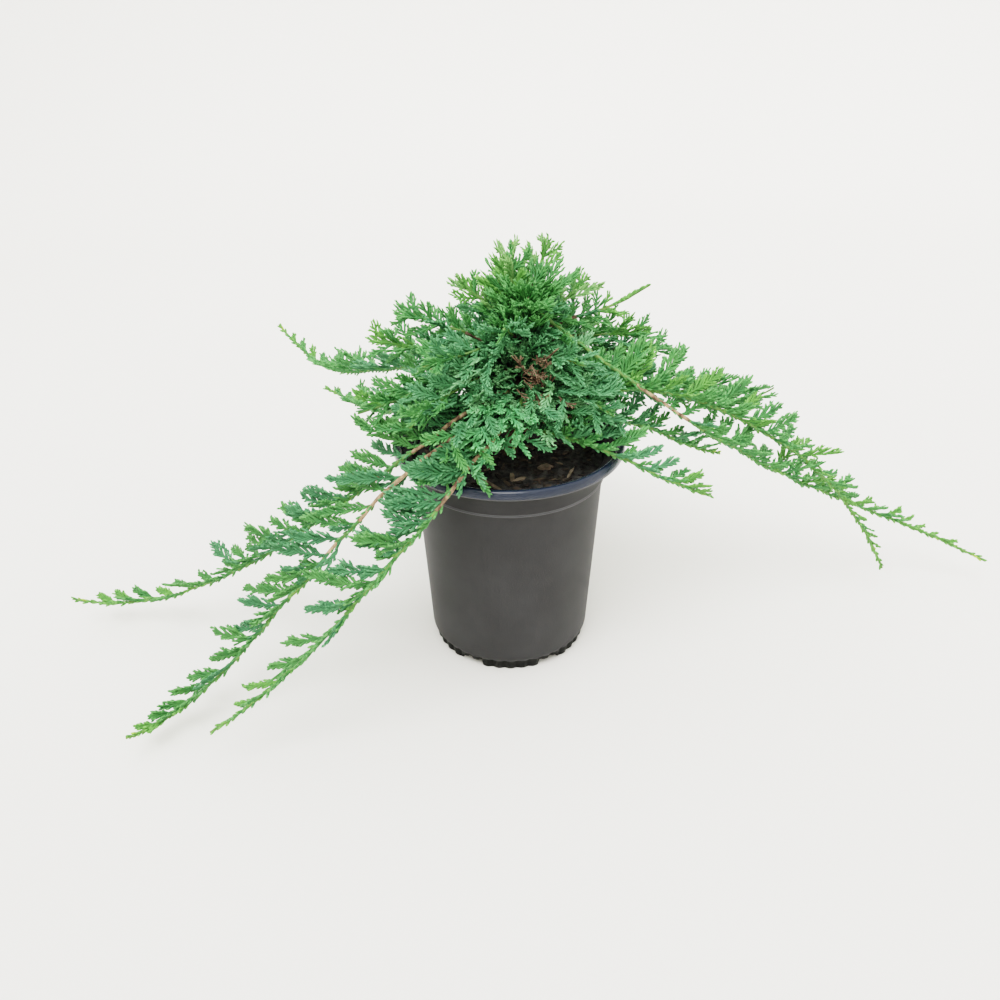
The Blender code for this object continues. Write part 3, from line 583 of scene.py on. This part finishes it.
def spray_frame(path, share, roll, angle):
    """Direction of a spray and of its flat side, rolled round the shoot from above."""
    along = tangent_at(path, share)
    up = UP if abs(along.z) < STEEP else -BACK
    level = along.cross(up).normalized()
    lift = level.cross(along)
    turn, lean = math.radians(roll), math.radians(angle)
    outward = lift * math.cos(turn) + level * math.sin(turn)
    way = (along * math.cos(lean) + outward * math.sin(lean)).normalized()
    across = (along - way * along.dot(way)).normalized()
    return way, across


def turned(along, out, degrees):
    """A direction that leans from one way towards another, and its own side."""
    lean = math.radians(degrees)
    side = (out - along * out.dot(along)).normalized()
    way = along * math.cos(lean) + side * math.sin(lean)
    return way, (side - way * side.dot(way)).normalized()


def grow_branch(twigs, shade, root, way, side, normal, length, rng):
    """A side branch of a spray: a scaly finger with a few buds along it."""
    bend = (normal * rng.uniform(-0.1, 0.1) - side * 0.08) * length
    radius = FINGER_RADIUS * THIN.get(shade, 1.0)
    twigs.finger(shade, root, way, side, bend, length, radius)
    count = int((length - LEAST_BRANCH) / FINGER_SPACING)
    for number in range(count):
        share = FINGER_START + FINGER_SPAN * (number + rng.random()) / count
        flip = -1.0 if number % 2 else 1.0
        out = side * flip + normal * rng.uniform(-0.8, 0.8)
        ahead, across = turned(way, out, FINGER_ANGLE + rng.uniform(-8.0, 8.0))
        reach = length * FINGER_SHARE * (1.15 - share) * rng.uniform(0.8, 1.2)
        reach = max(LEAST_FINGER, reach)
        base = root + way * (length * share) + bend * share * share
        twigs.finger(shade, base, ahead, across, way * reach * 0.12, reach, radius * 0.94)


def grow_spray(twigs, shade, root, way, across, length, rng, loose, wide=BRANCH_WIDE, slim=1.0,
               lift=0.09):
    """A spray: a stalk with branches in turn that rise, longest in its lower half."""
    normal = way.cross(across).normalized()
    bend = (UP - way * way.z) * (length * lift * rng.uniform(0.5, 1.5))
    thick = STALK_RADIUS * THIN.get(shade, 1.0)
    twigs.add("stalks", shade, root, way, across, bend, length, thick)
    size = min(length, BRANCH_BASE) * BRANCH_SHARE * slim
    count = max(4, round(length * SPRAY_SPAN / BRANCH_SPACING))
    for number in range(count):
        share = SPRAY_START + SPRAY_SPAN * (number + 0.5) / count
        flip = -1.0 if number % 2 else 1.0
        base = root + way * (length * share) + bend * share * share
        along = (way * length + bend * 2.0 * share).normalized()
        out = across * flip + normal * rng.uniform(-loose, loose) + UP * RISE
        angle = blend(wide, BRANCH_NARROW, share) + rng.uniform(-6.0, 6.0)
        ahead, side = turned(along, out, angle)
        profile = 0.28 + 0.72 * math.sin(math.pi * share ** 0.8)
        rise = max(0.45, 1.0 + 0.75 * ahead.z)
        reach = max(size * profile * rise * rng.uniform(0.78, 1.15), LEAST_BRANCH)
        grow_branch(twigs, shade, base, ahead, side, normal, reach, rng)


def fitted_spray(twigs, shade, path, share, roll, angle, length, rng, loose, slim=1.0):
    """Grow a spray at a share of the shoot, leaned in and shortened until it is clear."""
    root = point_at(path, share)
    while length >= SHORTEST:
        for part in LEANS:
            way, across = spray_frame(path, share, roll, angle * part)
            if twigs.fits(root, way, across, length):
                grow_spray(twigs, shade, root, way, across, length, rng, loose, slim=slim)
                return
        length *= SHRINK


def pick(tone, rng, shades=SHADES):
    """The shade whose number is nearest to a tone with some scatter."""
    number = round(tone + rng.uniform(-TONE_SCATTER, TONE_SCATTER))
    return shades[max(0, min(len(shades) - 1, number))]


def mound_tone(point):
    """Tone of a spray of the mound: painted light at its middle, brighter at its rim and top."""
    high = max(0.0, point.z - TOP_HEIGHT) * TOP_GAIN
    return min(TONE_MOST, TONE_GAIN * (point - TONE_MIDDLE).length - TONE_START + high)


def grow_mound_shoot(twigs, item, path, rng):
    """Sprays round a shoot of the mound, and the plume at its end."""
    kind = item.name.split("_")[0]
    style = MOUND_STYLES.get(kind, PLAIN)
    pale = item.name == "front_hanging"
    size = style.size * MOUND_SIZE.get(item.name, 1.0)
    count = max(4, round(path_length(path) * MOUND_LEAFY / style.spacing))
    for number in range(count):
        share = blend(0.1, style.last, (number + 0.45) / count)
        base = point_at(path, share)
        roll = SPIRAL_TURN * number + rng.uniform(-ROLL_DRIFT, ROLL_DRIFT)
        shade = "mint" if pale and share > 0.5 else pick(mound_tone(base) + style.tone, rng)
        # paler crown colour on top sprays: partly new growth, partly painted top light
        if kind in CROWN_KINDS and rng.random() < CROWN_SHARE:
            shade = "crown"
        length = item.spray * blend(1.0, MOUND_TIP_SHARE, share ** 1.2) * size
        length *= rng.uniform(0.78, 1.0)
        length = min(length, TIP_MARGIN + (path[-1] - base).length)
        angle = style.angle + rng.uniform(-8.0, 8.0)
        rise = spray_frame(path, share, roll, angle)[0].z
        length *= 1.0 - RISE_CUT * max(0.0, rise)
        fitted_spray(twigs, shade, path, share, roll, angle, length, rng, 0.7)
    root = point_at(path, 1.0 - PLUME_SHARE)
    plume = path[-1] - root
    along = plume.normalized()
    across = along.cross(PLUME_SIDE).normalized()
    shade = "mint" if pale else pick(mound_tone(path[-1]) + style.plume_tone, rng)
    grow_spray(twigs, shade, root, along, across, plume.length, rng, 0.8, 32.0, style.slim, 0.02)


def leaf_start(item):
    """Share of a trailing shoot where its sprays start."""
    return LEAFY.get(item.name, item.bare * 0.8)


def bark_spans(item):
    """Shares of a trailing shoot between which its bark is bare and brown."""
    return BARK.get(item.name, ((0.0, leaf_start(item) + 0.06),))


def trail_length(item, share):
    """Length of a side spray of a trailing shoot, shorter towards the tip."""
    leafy = max(0.0, share - item.bare) / (1.0 - item.bare)
    full = item.spray * TRAIL_SIZE * REACH.get(item.name, 1.0)
    return full * blend(1.0, TRAIL_LEAST, leafy ** 1.5)


def grow_leafy_part(twigs, item, path, rng):
    """Sprays in turn up to the bend, long on the far side, with small and single ones."""
    start, brown, warm = leaf_start(item), bark_spans(item)[-1][1], WARM.get(item.name, 0.0)
    shades = LEFT_SHADES if item.name in LEFT else SHADES
    slim = WARM_SLIM if warm else TRAIL_SLIM
    span = path_length(path) * (item.bend - start)
    count = max(3, round(span / SPACING.get(item.name, TRAIL_SPACING)))
    for number in range(count):
        share = blend(start, item.bend, (number + rng.uniform(0.2, 0.7)) / count)
        drift = rng.uniform(-1.8, 1.8) * ROLL_DRIFT
        roll = SPRAY_ROLL * (1.0 if number % 2 else -1.0) + drift
        angle = blend(SPRAY_ANGLE, 26.0, share * share) + rng.uniform(-9.0, 9.0)
        far = spray_frame(path, share, roll, angle)[0].y > 0.0
        length = trail_length(item, share) * rng.uniform(0.74, 1.12)
        length *= 1.0 if far else NEAR_SHARE
        shade = pick(1.0 + warm + 1.1 * share, rng, shades)
        if far or share > brown:
            fitted_spray(twigs, shade, path, share, roll, angle, length, rng, 0.75, slim)
    count = round(span / COVER_SPACING)
    for number in range(count):
        share = blend(start, item.bend, (number + rng.random()) / count)
        if share < brown and number % 3:
            continue
        roll, angle = rng.uniform(-75.0, 75.0), rng.uniform(20.0, 38.0)
        length = trail_length(item, share) * rng.uniform(0.3, 0.5)
        shade = pick(1.0 + warm + 1.1 * share, rng, shades)
        fitted_spray(twigs, shade, path, share, roll, angle, length, rng, 0.8, 1.15)
    for share, roll, angle, length in EXTRA.get(item.name, ()):
        shade = pick(0.9 + warm, rng, shades)
        fitted_spray(twigs, shade, path, share, roll, angle, length, rng, 0.8)


def grow_whip(twigs, item, path, rng):
    """Ever shorter sprays in turn from the bend of a trailing shoot towards its tip."""
    bend, warm = item.bend, WARM.get(item.name, 0.0)
    shades = LEFT_SHADES if item.name in LEFT else SHADES
    count = max(4, round(path_length(path) * (WHIP_END - bend) / WHIP_SPACING))
    for number in range(count):
        share = blend(bend, WHIP_END, (number + 0.5) / count)
        fade = (share - bend) / (1.0 - bend)
        roll = SPRAY_ROLL * (1.0 if number % 2 else -1.0) + rng.uniform(-25.0, 25.0)
        way, across = spray_frame(path, share, roll, blend(28.0, 18.0, fade))
        length = trail_length(item, bend) * blend(0.8, 0.26, fade) * rng.uniform(0.75, 1.15)
        root = point_at(path, share)
        if twigs.fits(root, way, across, length):
            shade = pick(1.9 + warm * 0.5 + fade, rng, shades)
            grow_spray(twigs, shade, root, way, across, length, rng, 0.5, 30.0)


def grow_scales(twigs, item, path, rng):
    """Short fingers that hug the green part of a shoot up to its tip."""
    start = SCALY.get(item.name, leaf_start(item) + 0.04)
    count = round(path_length(path) * (1.0 - start) / SCALE_SPACING)
    for number in range(count):
        share = blend(start, SCALE_END, (number + 0.5) / count)
        bare = any(low < share < high for low, high in bark_spans(item))
        if bare and rng.random() < 0.7:
            continue
        fade = (share - start) / (1.0 - start)
        way, across = spray_frame(path, share, SPIRAL_TURN * number, rng.uniform(13.0, 32.0))
        reach = rng.uniform(0.0044, 0.0076) * blend(1.0, 0.82, fade)
        shade = pick(1.9 + 1.3 * fade * fade, rng)
        twigs.finger(shade, point_at(path, share), way, across, Vector(), reach, FINGER_RADIUS)


def grow_core(twigs, rng):
    """Sprays on the trunk, and dead brown ones in the hollow in front of it."""
    for number in range(CORE_SPRAYS):
        height = blend(*CORE_HEIGHTS, (number + 0.5) / CORE_SPRAYS)
        way = heading(SPIRAL_TURN * number, rng.uniform(5.0, 50.0))
        root = trunk_point(height)
        length = rng.uniform(0.026, 0.04)
        across = way.cross(UP).normalized()
        if twigs.fits(root, way, across, length):
            shade = pick(mound_tone(root + way * length), rng)
            grow_spray(twigs, shade, root, way, across, length, rng, 0.7)
    for number in range(DRY_SPRAYS):
        aside, ahead = rng.gauss(0.0, 0.0055), rng.uniform(-0.006, 0.006)
        root = DRY_MIDDLE + Vector((aside, ahead, rng.gauss(0.0, 0.011)))
        way = heading(rng.uniform(200.0, 340.0), rng.uniform(-50.0, 50.0))
        across = way.cross(UP).normalized()
        length = rng.uniform(0.008, 0.013)
        grow_spray(twigs, "dry", root, way, across, length, rng, 0.9, 46.0, 1.5)


def grow_low_twigs(twigs, rng):
    """Low side twigs round the trunk, with sprays that hang towards the soil."""
    for azimuth, reach, height in LOW_TIPS:
        root = trunk_point(max(height + 0.008, 0.19))
        tip = polar(azimuth, reach, height)
        ahead = heading(azimuth, 32.0) * reach * 0.4
        path = curve(root, ahead, tip, heading(azimuth, -35.0) * reach * 0.4, 16)
        count = round(reach / LOW_SPACING)
        for number in range(count):
            share = blend(0.26, 0.98, number / (count - 1.0))
            base = point_at(path, share)
            roll = 74.0 * (1.0 if number % 2 else -1.0) + rng.uniform(-40.0, 40.0)
            pale = (base - MINT_MIDDLE).length < MINT_RADIUS and rng.random() < MINT_SHARE
            shade = "mint" if pale else pick(mound_tone(base) + 0.2, rng)
            length = rng.uniform(0.018, 0.026)
            angle = rng.uniform(24.0, 50.0)
            fitted_spray(twigs, shade, path, share, roll, angle, length, rng, 0.6)


# Meshes

def strip(first, second, sides):
    """Triangles between two closed rows, each given by the number of its first corner."""
    faces = []
    for side in range(sides):
        after = (side + 1) % sides
        faces += [(first + side, first + after, second + after),
                  (first + side, second + after, second + side)]
    return faces


def cap(first, apex, sides):
    """Triangles from a closed row to one corner."""
    return [(first + side, first + (side + 1) % sides, apex) for side in range(sides)]


def disc_triangles(rings, sides):
    """Triangles of a disc: a cap at its middle, and a strip from each ring to the next."""
    faces = [(apex, a, b) for a, b, apex in cap(1, 0, sides)]
    for ring in range(rings - 1):
        for side in range(sides):
            a, b = 1 + ring * sides + side, 1 + ring * sides + (side + 1) % sides
            faces += [(a, a + sides, b), (b, a + sides, b + sides)]
    return faces


def joined(parts):
    """Corners and triangles of many parts, in one list each."""
    corners, triangles = [], []
    for points, faces in parts:
        start = len(corners)
        corners += points
        triangles += [tuple(start + corner for corner in face) for face in faces]
    return corners, triangles


def tube_arrays(rows, tube):
    """Corners, triangle corners and material numbers of many small tapering tubes."""
    data = np.array(rows)
    root, way, side, bend = (data[:, 3 * k:3 * k + 3] for k in range(4))
    length, radius = data[:, 12], data[:, 13]
    lift = np.cross(way, side) * FLATNESS
    shares = np.array(tube.shares + (1.0,))
    centre = root[:, None] + way[:, None] * (length[:, None] * shares)[:, :, None]
    centre = centre + bend[:, None] * (shares ** 2)[None, :, None]
    sides, levels = tube.sides, len(tube.shares)
    turns = np.arange(sides)[None, :, None] * (math.tau / sides)
    rim = side[:, None] * np.cos(turns) + lift[:, None] * np.sin(turns)
    widths = radius[:, None] * np.array(tube.widths)
    rings = centre[:, :-1, None] + rim[:, None] * widths[:, :, None, None]
    many = len(data)
    corners = np.concatenate([rings.reshape(many, -1, 3), centre[:, -1:]], axis=1)
    faces, kinds = [], []
    for level, share in enumerate(tube.shares):
        first, second = level * sides, (level + 1) * sides
        new = strip(first, second, sides) if level < levels - 1 else cap(first, second, sides)
        faces += new
        kinds += [int(share >= tube.tip_from)] * len(new)
    starts = np.arange(many) * corners.shape[1]
    triangles = (np.array(faces)[None] + starts[:, None, None]).reshape(-1, 3)
    return corners.reshape(-1, 3), triangles, np.tile(kinds, many)


def mesh_object(name, corners, triangles, kinds, materials):
    """A smooth mesh, where kinds holds each triangle's material number, or is None."""
    corners = np.asarray(corners, dtype=np.float32)
    triangles = np.asarray(triangles, dtype=np.int32)
    mesh = bpy.data.meshes.new(name)
    mesh.vertices.add(len(corners))
    mesh.vertices.foreach_set("co", corners.ravel())
    mesh.loops.add(triangles.size)
    mesh.loops.foreach_set("vertex_index", triangles.ravel())
    mesh.polygons.add(len(triangles))
    mesh.polygons.foreach_set("loop_start", np.arange(0, triangles.size, 3, dtype=np.int32))
    if kinds is not None:
        mesh.polygons.foreach_set("material_index", np.asarray(kinds, dtype=np.int32))
    mesh.update(calc_edges=True)
    mesh.shade_smooth()
    for mat in materials:
        mesh.materials.append(mat)
    obj = bpy.data.objects.new(name, mesh)
    bpy.context.scene.collection.objects.link(obj)
    return obj


# Materials

def noise_factor(mat, scale, detail, stretch):
    """Noise over the object's own coordinates, stretched along its axes."""
    nodes, links = mat.node_tree.nodes, mat.node_tree.links
    place = nodes.new("ShaderNodeTexCoord")
    mapping = nodes.new("ShaderNodeMapping")
    mapping.inputs["Scale"].default_value = stretch
    texture = nodes.new("ShaderNodeTexNoise")
    texture.inputs["Scale"].default_value = scale
    texture.inputs["Detail"].default_value = detail
    links.new(place.outputs["Object"], mapping.inputs["Vector"])
    links.new(mapping.outputs["Vector"], texture.inputs["Vector"])
    return texture.outputs["Fac"]


def varied(name, dark, light, scale, roughness, relief, stretch=(1.0, 1.0, 1.0), specular=0.5,
           low=0.36, details=(4.0, 3.0), fine=6.0, strength=0.6):
    """A material that varies between two colours, with finer relief where that is not 0."""
    mat = bpy.data.materials.new(name)
    mat.use_nodes = True
    nodes, links = mat.node_tree.nodes, mat.node_tree.links
    shader = nodes["Principled BSDF"]
    shader.inputs["Roughness"].default_value = roughness
    shader.inputs["Specular IOR Level"].default_value = specular
    ramp = nodes.new("ShaderNodeValToRGB")
    for element, place, colour in zip(ramp.color_ramp.elements, (low, 1.0 - low), (dark, light)):
        element.position = place
        element.color = (*colour, 1.0)
    links.new(noise_factor(mat, scale, details[0], stretch), ramp.inputs["Fac"])
    links.new(ramp.outputs["Color"], shader.inputs["Base Color"])
    if relief:
        bump = nodes.new("ShaderNodeBump")
        bump.inputs["Distance"].default_value = relief
        bump.inputs["Strength"].default_value = strength
        links.new(noise_factor(mat, scale * fine, details[1], stretch), bump.inputs["Height"])
        links.new(bump.outputs["Normal"], shader.inputs["Normal"])
    return mat


def leaf_materials(shade):
    """Body and tip colours of one shade of leaf; the paler tips are new growth and painted
    highlight.
    """
    dark, light = LEAF_COLOURS[shade]
    lift = 0.0 if shade == "dry" else TIP_LIFT
    tip = tuple(value * TIP_GAIN + lift for value in light)
    body = varied("leaf_" + shade, dark, light, 90.0, 0.62, 0.0004, specular=0.35)
    ends = varied("leaf_tip_" + shade, light, tip, 120.0, 0.6, 0.0004, specular=0.35)
    return [body, ends]


# Foliage

def build_foliage(paths):
    """All leaves of the plant, in pieces by kind and shade."""
    rng = random.Random(SEED)
    twigs = Twigs(bough_sights(paths), TRAIL_STOUT)
    for item in TRAILING:
        for grow in (grow_leafy_part, grow_whip, grow_scales):
            grow(twigs, item, paths[item.name], rng)
    twigs.stout = MOUND_STOUT
    for item in MOUND:
        grow_mound_shoot(twigs, item, paths[item.name], rng)
    grow_core(twigs, rng)
    grow_low_twigs(twigs, rng)
    nodes = [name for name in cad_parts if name.startswith("foliage_")]
    materials = {shade: leaf_materials(shade) for shade in LEAF_COLOURS}
    for (kind, shade), rows in sorted(twigs.rows.items()):
        tube = TUBES[kind]
        step = PIECE_LIMIT // (tube.sides * (2 * len(tube.shares) - 1))
        for number, first in enumerate(range(0, len(rows), step)):
            arrays = tube_arrays(rows[first:first + step], tube)
            piece = mesh_object(f"{kind}_{shade}_{number + 1}", *arrays, materials[shade])
            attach(piece, "root")
            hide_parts(*nodes)


# Bark

def bark_rings(path, shares, radii, sides, relief, grain):
    """Rings of a limb whose bark has long ridges and cracks along it."""
    rows = []
    along = tangent_at(path, shares[0])
    level = along.cross(UP)
    if level.length < 0.2:
        level = along.cross(BACK)
    for share, radius in zip(shares, radii):
        along = tangent_at(path, share)
        level = (level - along * level.dot(along)).normalized()
        lift = level.cross(along)
        middle = point_at(path, share)
        travel = share * path_length(path) * grain
        row = []
        for side in range(sides):
            turn = math.tau * side / sides
            spot = Vector((2.2 * math.cos(turn), 2.2 * math.sin(turn), travel))
            knot = noise.noise(Vector((math.cos(turn), math.sin(turn), travel * 0.35 + 5.0)))
            ridge = 1.0 + relief * noise.noise(spot) + relief * 0.8 * knot
            row.append(middle + (level * math.cos(turn) + lift * math.sin(turn)) * radius * ridge)
        rows.append(row)
    return rows


def limb_arrays(rings):
    """Corners and triangles of a tube through rings, closed at both ends."""
    sides, last = len(rings[0]), len(rings) - 1
    corners = [point for row in rings for point in row]
    triangles = []
    for row in range(last):
        triangles += strip(row * sides, (row + 1) * sides, sides)
    triangles += [(b, a, apex) for a, b, apex in cap(0, len(corners), sides)]
    corners.append(sum(rings[0], Vector()) / sides)
    triangles += cap(last * sides, len(corners), sides)
    corners.append(sum(rings[last], Vector()) / sides)
    return corners, triangles


def joined_limbs(name, limbs, mat):
    """One piece of many limbs."""
    obj = mesh_object(name, *joined(limb_arrays(rings) for rings in limbs), None, [mat])
    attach(obj, "root")
    return obj


def limb_shares(start, end, count):
    """Even shares from start to end."""
    return [blend(start, end, k / count) for k in range(count + 1)]


def stem_radius(item, share):
    """Radius of a shoot: thick where it leaves the trunk, thin and even past it."""
    if item in MOUND:
        return blend(STEM_RADIUS, STEM_TIP_RADIUS, share)
    return blend(THIN_START.get(item.name, STEM_START), STEM_END, share ** 0.55)


def limb_rings(item, path, start, end, step, sides, relief, grain):
    """Rings of a length of a shoot."""
    shares = limb_shares(start, end, max(6, round(path_length(path) * (end - start) / step)))
    radii = [stem_radius(item, share) for share in shares]
    return bark_rings(path, shares, radii, sides, relief, grain)


def trunk_rings():
    """Rings of the trunk, from its flat foot on the soil to its tip."""
    path = [trunk_point(height) for height in limb_shares(TRUNK_FOOT, TRUNK_TOP, PATH_STEPS)]
    shares = limb_shares(0.0, 1.0, TRUNK_STEPS)
    radii = [trunk_radius(blend(TRUNK_FOOT, TRUNK_TOP, share)) for share in shares]
    return bark_rings(path, shares, radii, *TRUNK_FINISH)


def build_bark(paths):
    """Trunk, bare boughs, inner stems and green stems."""
    old, young, green = (varied(name, *look) for name, look in BARK_LOOKS.items())
    trunk = joined_limbs("bark_trunk", [trunk_rings()], old)
    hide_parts("trunk")
    boughs, stems, inner = [], [], []
    for item in TRAILING:
        path, last = paths[item.name], 0.0
        for start, end in bark_spans(item):
            if start > last:
                stems.append(limb_rings(item, path, last, start, *SPUR_FINISH))
            boughs.append(limb_rings(item, path, start, end, *BOUGH_FINISH))
            last = end
        stems.append(limb_rings(item, path, last, 1.0, *TRAIL_FINISH))
    for item in MOUND:
        path = paths[item.name]
        inner.append(limb_rings(item, path, 0.0, INNER_SHARE, *INNER_FINISH))
        stems.append(limb_rings(item, path, INNER_SHARE, 1.0, *STEM_FINISH))
    outer = joined_limbs("bark_boughs", boughs, young)
    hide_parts(*[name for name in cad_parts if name.startswith("bough_")])
    hidden = joined_limbs("bark_inner_stems", inner, old)
    tips = joined_limbs("green_stems", stems, green)


# Pot

def pot_corner(radius, height, knob, turn):
    """One corner of the pot, with the foot's knobs and drain slots."""
    wave = 0.5 - 0.5 * math.cos(KNOB_COUNT * turn)
    radius -= KNOB_DEPTH * knob * wave ** 1.6
    nearest = round(turn / math.tau * NOTCH_COUNT) * math.tau / NOTCH_COUNT
    aside = abs(math.sin(turn - nearest)) * radius
    ahead = math.cos(turn - nearest) * radius
    if aside < NOTCH_WIDTH / 2.0 and ahead > NOTCH_START:
        height = max(height, NOTCH_HEIGHT)
    return around(turn, radius, height)


def build_pot():
    """The pot, turned from its rows, with a cap at each end."""
    materials = [varied(name, dark, light, 24.0, roughness, 0.0002, specular=specular, low=0.3,
                        details=(4.0, 2.0), fine=37.5, strength=0.35)
                 for name, dark, light, roughness, specular in POT_LOOKS]
    rows = [row for _, span in POT_SPANS for row in span]
    looks = [look for look, span in POT_SPANS for _ in span]
    knobs = KNOBS + (0.0,) * (len(rows) - len(KNOBS))
    turns = [math.tau * side / POT_SIDES for side in range(POT_SIDES)]
    rings = [[pot_corner(*row, knob, turn) for turn in turns]
             for row, knob in zip(rows[1:-1], knobs[1:])]
    caps = np.repeat([looks[1], looks[-1]], POT_SIDES)
    kinds = np.concatenate([np.repeat(looks[2:-1], 2 * POT_SIDES), caps])
    obj = mesh_object("pot_body", *limb_arrays(rings), kinds, materials)
    obj.data.set_sharp_from_angle(angle=math.radians(42.0))
    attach(obj, "root")
    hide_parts("pot")


# Soil

def build_soil():
    """The soil's rough surface, with a skirt that runs down inside the pot."""
    corners = [Vector((0.0, 0.0, soil_height(0.0, 0.0)))]
    for ring in range(1, SOIL_RINGS + 2):
        reach = SOIL_EDGE * min(ring, SOIL_RINGS) / SOIL_RINGS
        for side in range(SOIL_SIDES):
            turn = math.tau * (side + 0.5 * (min(ring, SOIL_RINGS) % 2)) / SOIL_SIDES
            x, y = reach * math.cos(turn), reach * math.sin(turn)
            height = soil_height(x, y) if ring <= SOIL_RINGS else SOIL_TOP - SOIL_SKIRT
            corners.append(Vector((x, y, height)))
    mat = varied("soil_mix", (0.032, 0.031, 0.031), (0.094, 0.09, 0.085), 220.0, 0.95, 0.0015,
                 specular=0.2)
    triangles = disc_triangles(SOIL_RINGS + 1, SOIL_SIDES)
    obj = mesh_object("soil_surface", corners, triangles, None, [mat])
    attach(obj, "root")
    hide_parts("soil")


def chip_arrays(rng, long, wide, thick, place, turn, tilt):
    """A split bark chip: a bar of four uneven rings."""
    lie = Matrix.Rotation(turn, 3, "Z") @ Matrix.Rotation(tilt, 3, "Y")
    corners = []
    for share in CHIP_SHARES:
        swell = 1.0 if abs(share) < 0.3 else rng.uniform(0.25, 0.8)
        for y, z in ((-1, -1), (1, -1), (1, 1), (-1, 1)):
            along = long * share * rng.uniform(0.9, 1.1)
            aside = 0.5 * wide * y * swell * rng.uniform(0.7, 1.1)
            rise = 0.5 * thick * z * swell * rng.uniform(0.6, 1.2)
            corners.append(place + lie @ Vector((along, aside, rise)))
    triangles = [(0, 2, 1), (0, 3, 2), (12, 13, 14), (12, 14, 15)]
    for row in range(3):
        triangles += strip(4 * row, 4 * row + 4, 4)
    return corners, triangles


def random_chip(rng, short, long):
    """A chip that lies somewhere on the soil."""
    reach = CHIP_REACH * math.sqrt(rng.uniform(0.0, 1.0))
    turn = rng.uniform(0.0, math.tau)
    size = blend(short, long, rng.uniform(0.0, 1.0) ** 2)
    x, y = reach * math.cos(turn), reach * math.sin(turn)
    place = Vector((x, y, soil_height(x, y) + rng.uniform(0.0, 0.001)))
    wide = size * rng.uniform(0.18, 0.5)
    thick = wide * rng.uniform(0.3, 0.7)
    turn, tilt = rng.uniform(0.0, math.tau), rng.uniform(-0.35, 0.35)
    return chip_arrays(rng, size, wide, thick, place, turn, tilt)


def build_chips():
    """Bark chips, crumbs and a few pale twigs on the soil."""
    rng = random.Random(SEED + 1)
    for name, (count, dark, light, short, long) in CHIPS.items():
        parts = [random_chip(rng, short, long) for _ in range(count)]
        for x, y, turn, size, wide in STICKS.get(name, ()):
            place = Vector((x, y, soil_height(x, y) + STICK_LIFT))
            parts.append(chip_arrays(rng, size, wide, wide * 0.6, place, math.radians(turn), 0.05))
        mat = varied(name, dark, light, 160.0, 0.9, 0.0008, (1.0, 1.0, 2.0), specular=0.25)
        obj = mesh_object(name, *joined(parts), None, [mat])
        obj.data.set_sharp_from_angle(angle=math.radians(30.0))
        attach(obj, "root")


# Floor, light and camera

def build_floor():
    """A round pale floor that curves up into a wall, the same from all sides."""
    rows = [(1.2, 0.0), (FLOOR_REACH, 0.0)]
    for step in range(1, 10):
        turn = math.radians(10.0 * step)
        rows.append((FLOOR_REACH + FLOOR_CURVE * math.sin(turn),
                     FLOOR_CURVE - FLOOR_CURVE * math.cos(turn)))
    rows += [(2.5, 1.6), (2.5, 2.6)]
    corners = [Vector((0.0, 0.0, 0.0))]
    for radius, height in rows:
        corners += [around(math.tau * side / FLOOR_SIDES, radius, height)
                    for side in range(FLOOR_SIDES)]
    mat = varied("studio_floor", (0.84, 0.826, 0.79), (0.86, 0.848, 0.815), 1.3, 0.85, 0.0,
                 specular=0.2, low=0.3, details=(1.0, 0.0))
    triangles = disc_triangles(len(rows), FLOOR_SIDES)
    obj = mesh_object("studio_floor", corners, triangles, None, [mat])


def build_lights():
    """A pale sky all round, and one large soft light from the upper left."""
    world = bpy.data.worlds.new("studio")
    bpy.context.scene.world = world
    world.use_nodes = True
    sky = world.node_tree.nodes["Background"]
    sky.inputs["Color"].default_value = (1.0, 0.997, 0.99, 1.0)
    sky.inputs["Strength"].default_value = 0.72
    sun = bpy.data.lights.new("soft_key", "SUN")
    sun.energy = 1.25
    sun.angle = math.radians(46.0)
    sun.color = (1.0, 0.995, 0.98)
    obj = bpy.data.objects.new("soft_key", sun)
    bpy.context.scene.collection.objects.link(obj)
    obj.rotation_euler = Vector((0.3, 0.55, -1.0)).to_track_quat("-Z", "Y").to_euler()


def build_camera():
    """The photograph's camera: it looks down at the pot from the front."""
    data = bpy.data.cameras.new("camera")
    data.sensor_width = 36.0
    data.lens = 30.6
    data.clip_start = 0.01
    camera = bpy.data.objects.new("camera", data)
    bpy.context.scene.collection.objects.link(camera)
    ahead = Vector((0.0, math.cos(PITCH), -math.sin(PITCH)))
    tilt = Matrix.Rotation(math.pi / 2.0 - PITCH, 4, "X") @ Matrix.Rotation(ROLL, 4, "Z")
    camera.matrix_world = Matrix.Translation(AIM - ahead * DISTANCE) @ tilt
    bpy.context.scene.camera = camera


noise.seed_set(NOISE_SEED)
shoot_paths = {item.name: swayed(shoot_path(item)) for item in TRAILING + MOUND}
build_camera()
build_lights()
build_floor()
build_foliage(shoot_paths)
build_bark(shoot_paths)
build_pot()
build_soil()
build_chips()
view = bpy.context.scene.view_settings
view.view_transform = "Filmic"
view.look = "High Contrast"
view.exposure = 1.3
